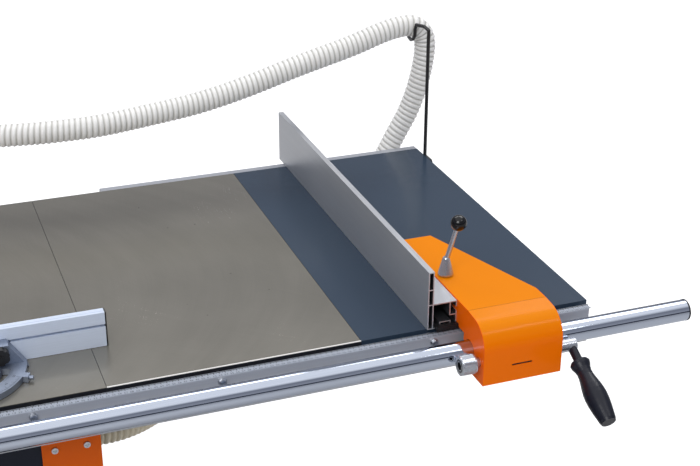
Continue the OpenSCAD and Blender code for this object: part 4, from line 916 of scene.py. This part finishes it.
def makeRailScale(look):
    ticks, figures = Shape(), Shape()
    top = look["top"]
    for mm in range(round((look["last"] - look["first"]) * 1000) + 1):
        x = look["first"] + mm / 1000
        long = markLength(mm, look["lengths"])
        half = look["width"] * (look["wider"] if mm % 10 == 0 else 1) / 2
        low = (x - half, look["back"] - long, top - printing["below"])
        ticks.slab(low, (x + half, look["back"], top + printing["above"]))
        if mm % 10 == 0 and mm:
            spot = (x, look["back"] - look["figuresBack"], top)
            figure(figures, str(mm // 10), look["figures"], spot)
    ticks.piece("scale_ticks", finishes["inkBlack"], "base", "scale_alu", smooth=0)
    figures.piece("scale_figures", finishes["inkBlack"], "base", "scale_alu", smooth=0)


makeRailScale(railScale)

gaugeScale = {
    "centre": (0.120, -0.284),
    "top": 0.862,
    "outer": 0.1095,
    "reach": 60,  # degrees to each side
    "figureEvery": 15,
    "lengths": (0.004, 0.0062, 0.0085),
    "half": 0.00022,
    "figures": 0.0062,
    "figuresIn": 0.0105,
}


def makeGaugeScale(look):
    ticks, figures = Shape(), Shape()
    cx, cy = look["centre"]
    half, outer, top = look["half"], look["outer"], look["top"]
    for degree in range(-look["reach"], look["reach"] + 1):
        long = markLength(degree, look["lengths"])
        turn = Matrix.Translation((cx, cy, 0)) @ Matrix.Rotation(math.radians(degree), 4, "Z")
        low = (-half, -outer, top - printing["below"])
        ticks.slab(low, (half, -outer + long, top + printing["above"]), turn)
        if degree % look["figureEvery"] == 0:
            spot = turn @ Vector((0, -outer + look["figuresIn"], 0))
            place = (spot.x, spot.y, top)
            figure(figures, str(abs(degree)), look["figures"], place, math.radians(degree))
    ticks.piece("gauge_ticks", finishes["inkBlack"], "mitre_swivel", "extruded_alu", smooth=0)
    figures.piece("gauge_figures", finishes["inkBlack"], "mitre_swivel", "extruded_alu", smooth=0)


makeGaugeScale(gaugeScale)
print("scales made")


# Band clamps on the hose's ends
bandClamp = {
    "radius": 0.0228,
    "thick": 0.0011,
    "width": 0.009,
    "lip": 0.35,  # share of the thickness that the edges are broken by
    "bevel": 0.0004,
    "housing": (0.008, 0.006, 0.001),  # half length, height, and how far it is wider
    "teeth": 14,
    "firstTooth": 30,  # degrees
    "toothStep": 4,
    "tooth": (0.0004, 0.0002, 0.0004, 0.6),  # half length, depth, height, share of the width
    "screwHigh": 0.0028,
    "screw": [
        (0, 0.006), (0.0026, 0.006), (0.0036, 0.0052), (0.0036, 0.0008), (0.0026, 0), (0, 0),
    ],
}


def makeBandClamp(name, place, direction, body, look):
    shape = Shape()
    spot = pointing(place, direction)
    r, t, w = look["radius"], look["thick"], look["width"] / 2
    outer, lip = r + t, t * look["lip"]
    band = [
        (r, -w), (outer - lip, -w), (outer, -w + lip), (outer, w - lip), (outer - lip, w), (r, w),
    ]
    shape.turned(band, spot, closed=True, around=64)
    half, high, wider = look["housing"]
    shape.slab((r + t * 0.5, -half, -w - wider), (outer + high, half, w + wider), spot)
    toothHalf, deep, toothHigh, share = look["tooth"]
    for k in range(look["teeth"]):
        angle = math.radians(look["firstTooth"] + k * look["toothStep"])
        cut = spot @ Matrix.Rotation(angle, 4, "Z")
        low = (outer - deep, -toothHalf, -w * share)
        shape.slab(low, (outer + toothHigh, toothHalf, w * share), cut)
    head = spot @ Matrix.Translation((outer + look["screwHigh"], -half, 0))
    shape.turned(look["screw"], head @ Matrix.Rotation(math.pi / 2, 4, "X"), around=24)
    shape.piece(name, finishes["zinc"], body, "zinc", bevel=look["bevel"])


makeBandClamp("guard_clamp", (0, 0.2425, 0.978), (0, 1, 0), "lift_unit", bandClamp)
makeBandClamp("port_clamp", (0.3815, 0.080, 0.448), (1, 0, 0), "base", bandClamp)
print("hose clamps made")


# Knurled sleeve on the clamp knob
knurl = {
    "axis": clampAxis,
    "from": 0.9350,
    "to": 0.9580,
    "radius": 0.0175,
    "rise": 0.00035,  # of the points, and of the ground between them
    "ground": 0.00005,
    "wall": 0.0006,
    "teeth": 44,
    "rows": 24,
}


def makeKnurl(look):
    count, rows = look["teeth"] * 2, look["rows"] * 2
    y, z = look["axis"]
    vertices = []
    for i in range(rows + 1):
        x = look["from"] + (look["to"] - look["from"]) * i / rows
        for k in range(count):
            angle = 2 * math.pi * k / count
            high = (i + k) % 2 == 0 and 0 < i < rows
            r = look["radius"] + (look["rise"] if high else look["ground"])
            vertices.append((x, y + r * math.cos(angle), z + r * math.sin(angle)))
    faces = []
    for i in range(rows):
        for k in range(count):
            j = (k + 1) % count
            faces.append((i * count + k, (i + 1) * count + k, (i + 1) * count + j, i * count + j))
    start = len(vertices)
    for x in (look["from"], look["to"]):
        for k in range(count):
            angle = 2 * math.pi * k / count
            r = look["radius"] - look["wall"]
            vertices.append((x, y + r * math.cos(angle), z + r * math.sin(angle)))
    for k in range(count):
        j = (k + 1) % count
        faces.append((k, j, start + j, start + k))
        a = rows * count
        faces.append((a + j, a + k, start + count + k, start + count + j))
        faces.append((start + k, start + j, start + count + j, start + count + k))
    shape = Shape().add(vertices, faces)
    shape.piece("knob_knurl", finishes["satinChrome"], "bar_clamp", "part_chrome", smooth=0)


makeKnurl(knurl)


# Screws of the blade insert and the switch box, and marks on the push buttons
fittings = {
    "socket": (0.7, 0.86, 0.45, 0.4),  # shares: shoulder, top, hole's radius, hole's floor
    "insertScrew": (0.0028, 0.0016),  # radius, height
    "insertAt": ((-0.037, 0.037), (-0.190, 0.210), 0.8481),
    "switchScrew": (0.0032, 0.0018),
    "switchAt": ((-0.306, -0.234), -0.340, (0.546, 0.674)),
    "startMark": ((-0.2712, -0.3454, 0.6365), (-0.2688, -0.3450, 0.6475)),
    "stopAt": (-0.270, -0.3591, 0.584),
    "stopMark": [(0.0062, -0.0002), (0.0080, -0.0002), (0.0080, 0.0003), (0.0062, 0.0003)],
}


def socketScrew(shape, place, direction, size, shares):
    radius, height = size
    shoulder, top, hole, floor = shares
    outline = [
        (radius, 0), (radius, height * shoulder), (radius * top, height), (radius * hole, height),
        (radius * hole, height * floor), (0, height * floor), (0, 0),
    ]
    shape.turned(outline, pointing(place, direction), around=24)


def makeFittings(look):
    front = (0, -1, 0)
    insert = Shape()
    wide, long, top = look["insertAt"]
    for x in wide:
        for y in long:
            socketScrew(insert, (x, y, top), (0, 0, 1), look["insertScrew"], look["socket"])
    insert.piece("insert_screws", finishes["zinc"], "base", "zinc")
    mark = Shape().slab(*look["startMark"])
    mark.piece("start_mark", finishes["markWhite"], "start_key", "green_plastic", smooth=0)
    ring = Shape().turned(look["stopMark"], pointing(look["stopAt"], front), closed=True)
    ring.piece("stop_mark", finishes["markWhite"], "stop_key", "red_plastic")
    box = Shape()
    wide, y, high = look["switchAt"]
    for x in wide:
        for z in high:
            socketScrew(box, (x, y, z), front, look["switchScrew"], look["socket"])
    box.piece("switch_screws", finishes["zinc"], "base", "zinc")


makeFittings(fittings)
print("fittings made")
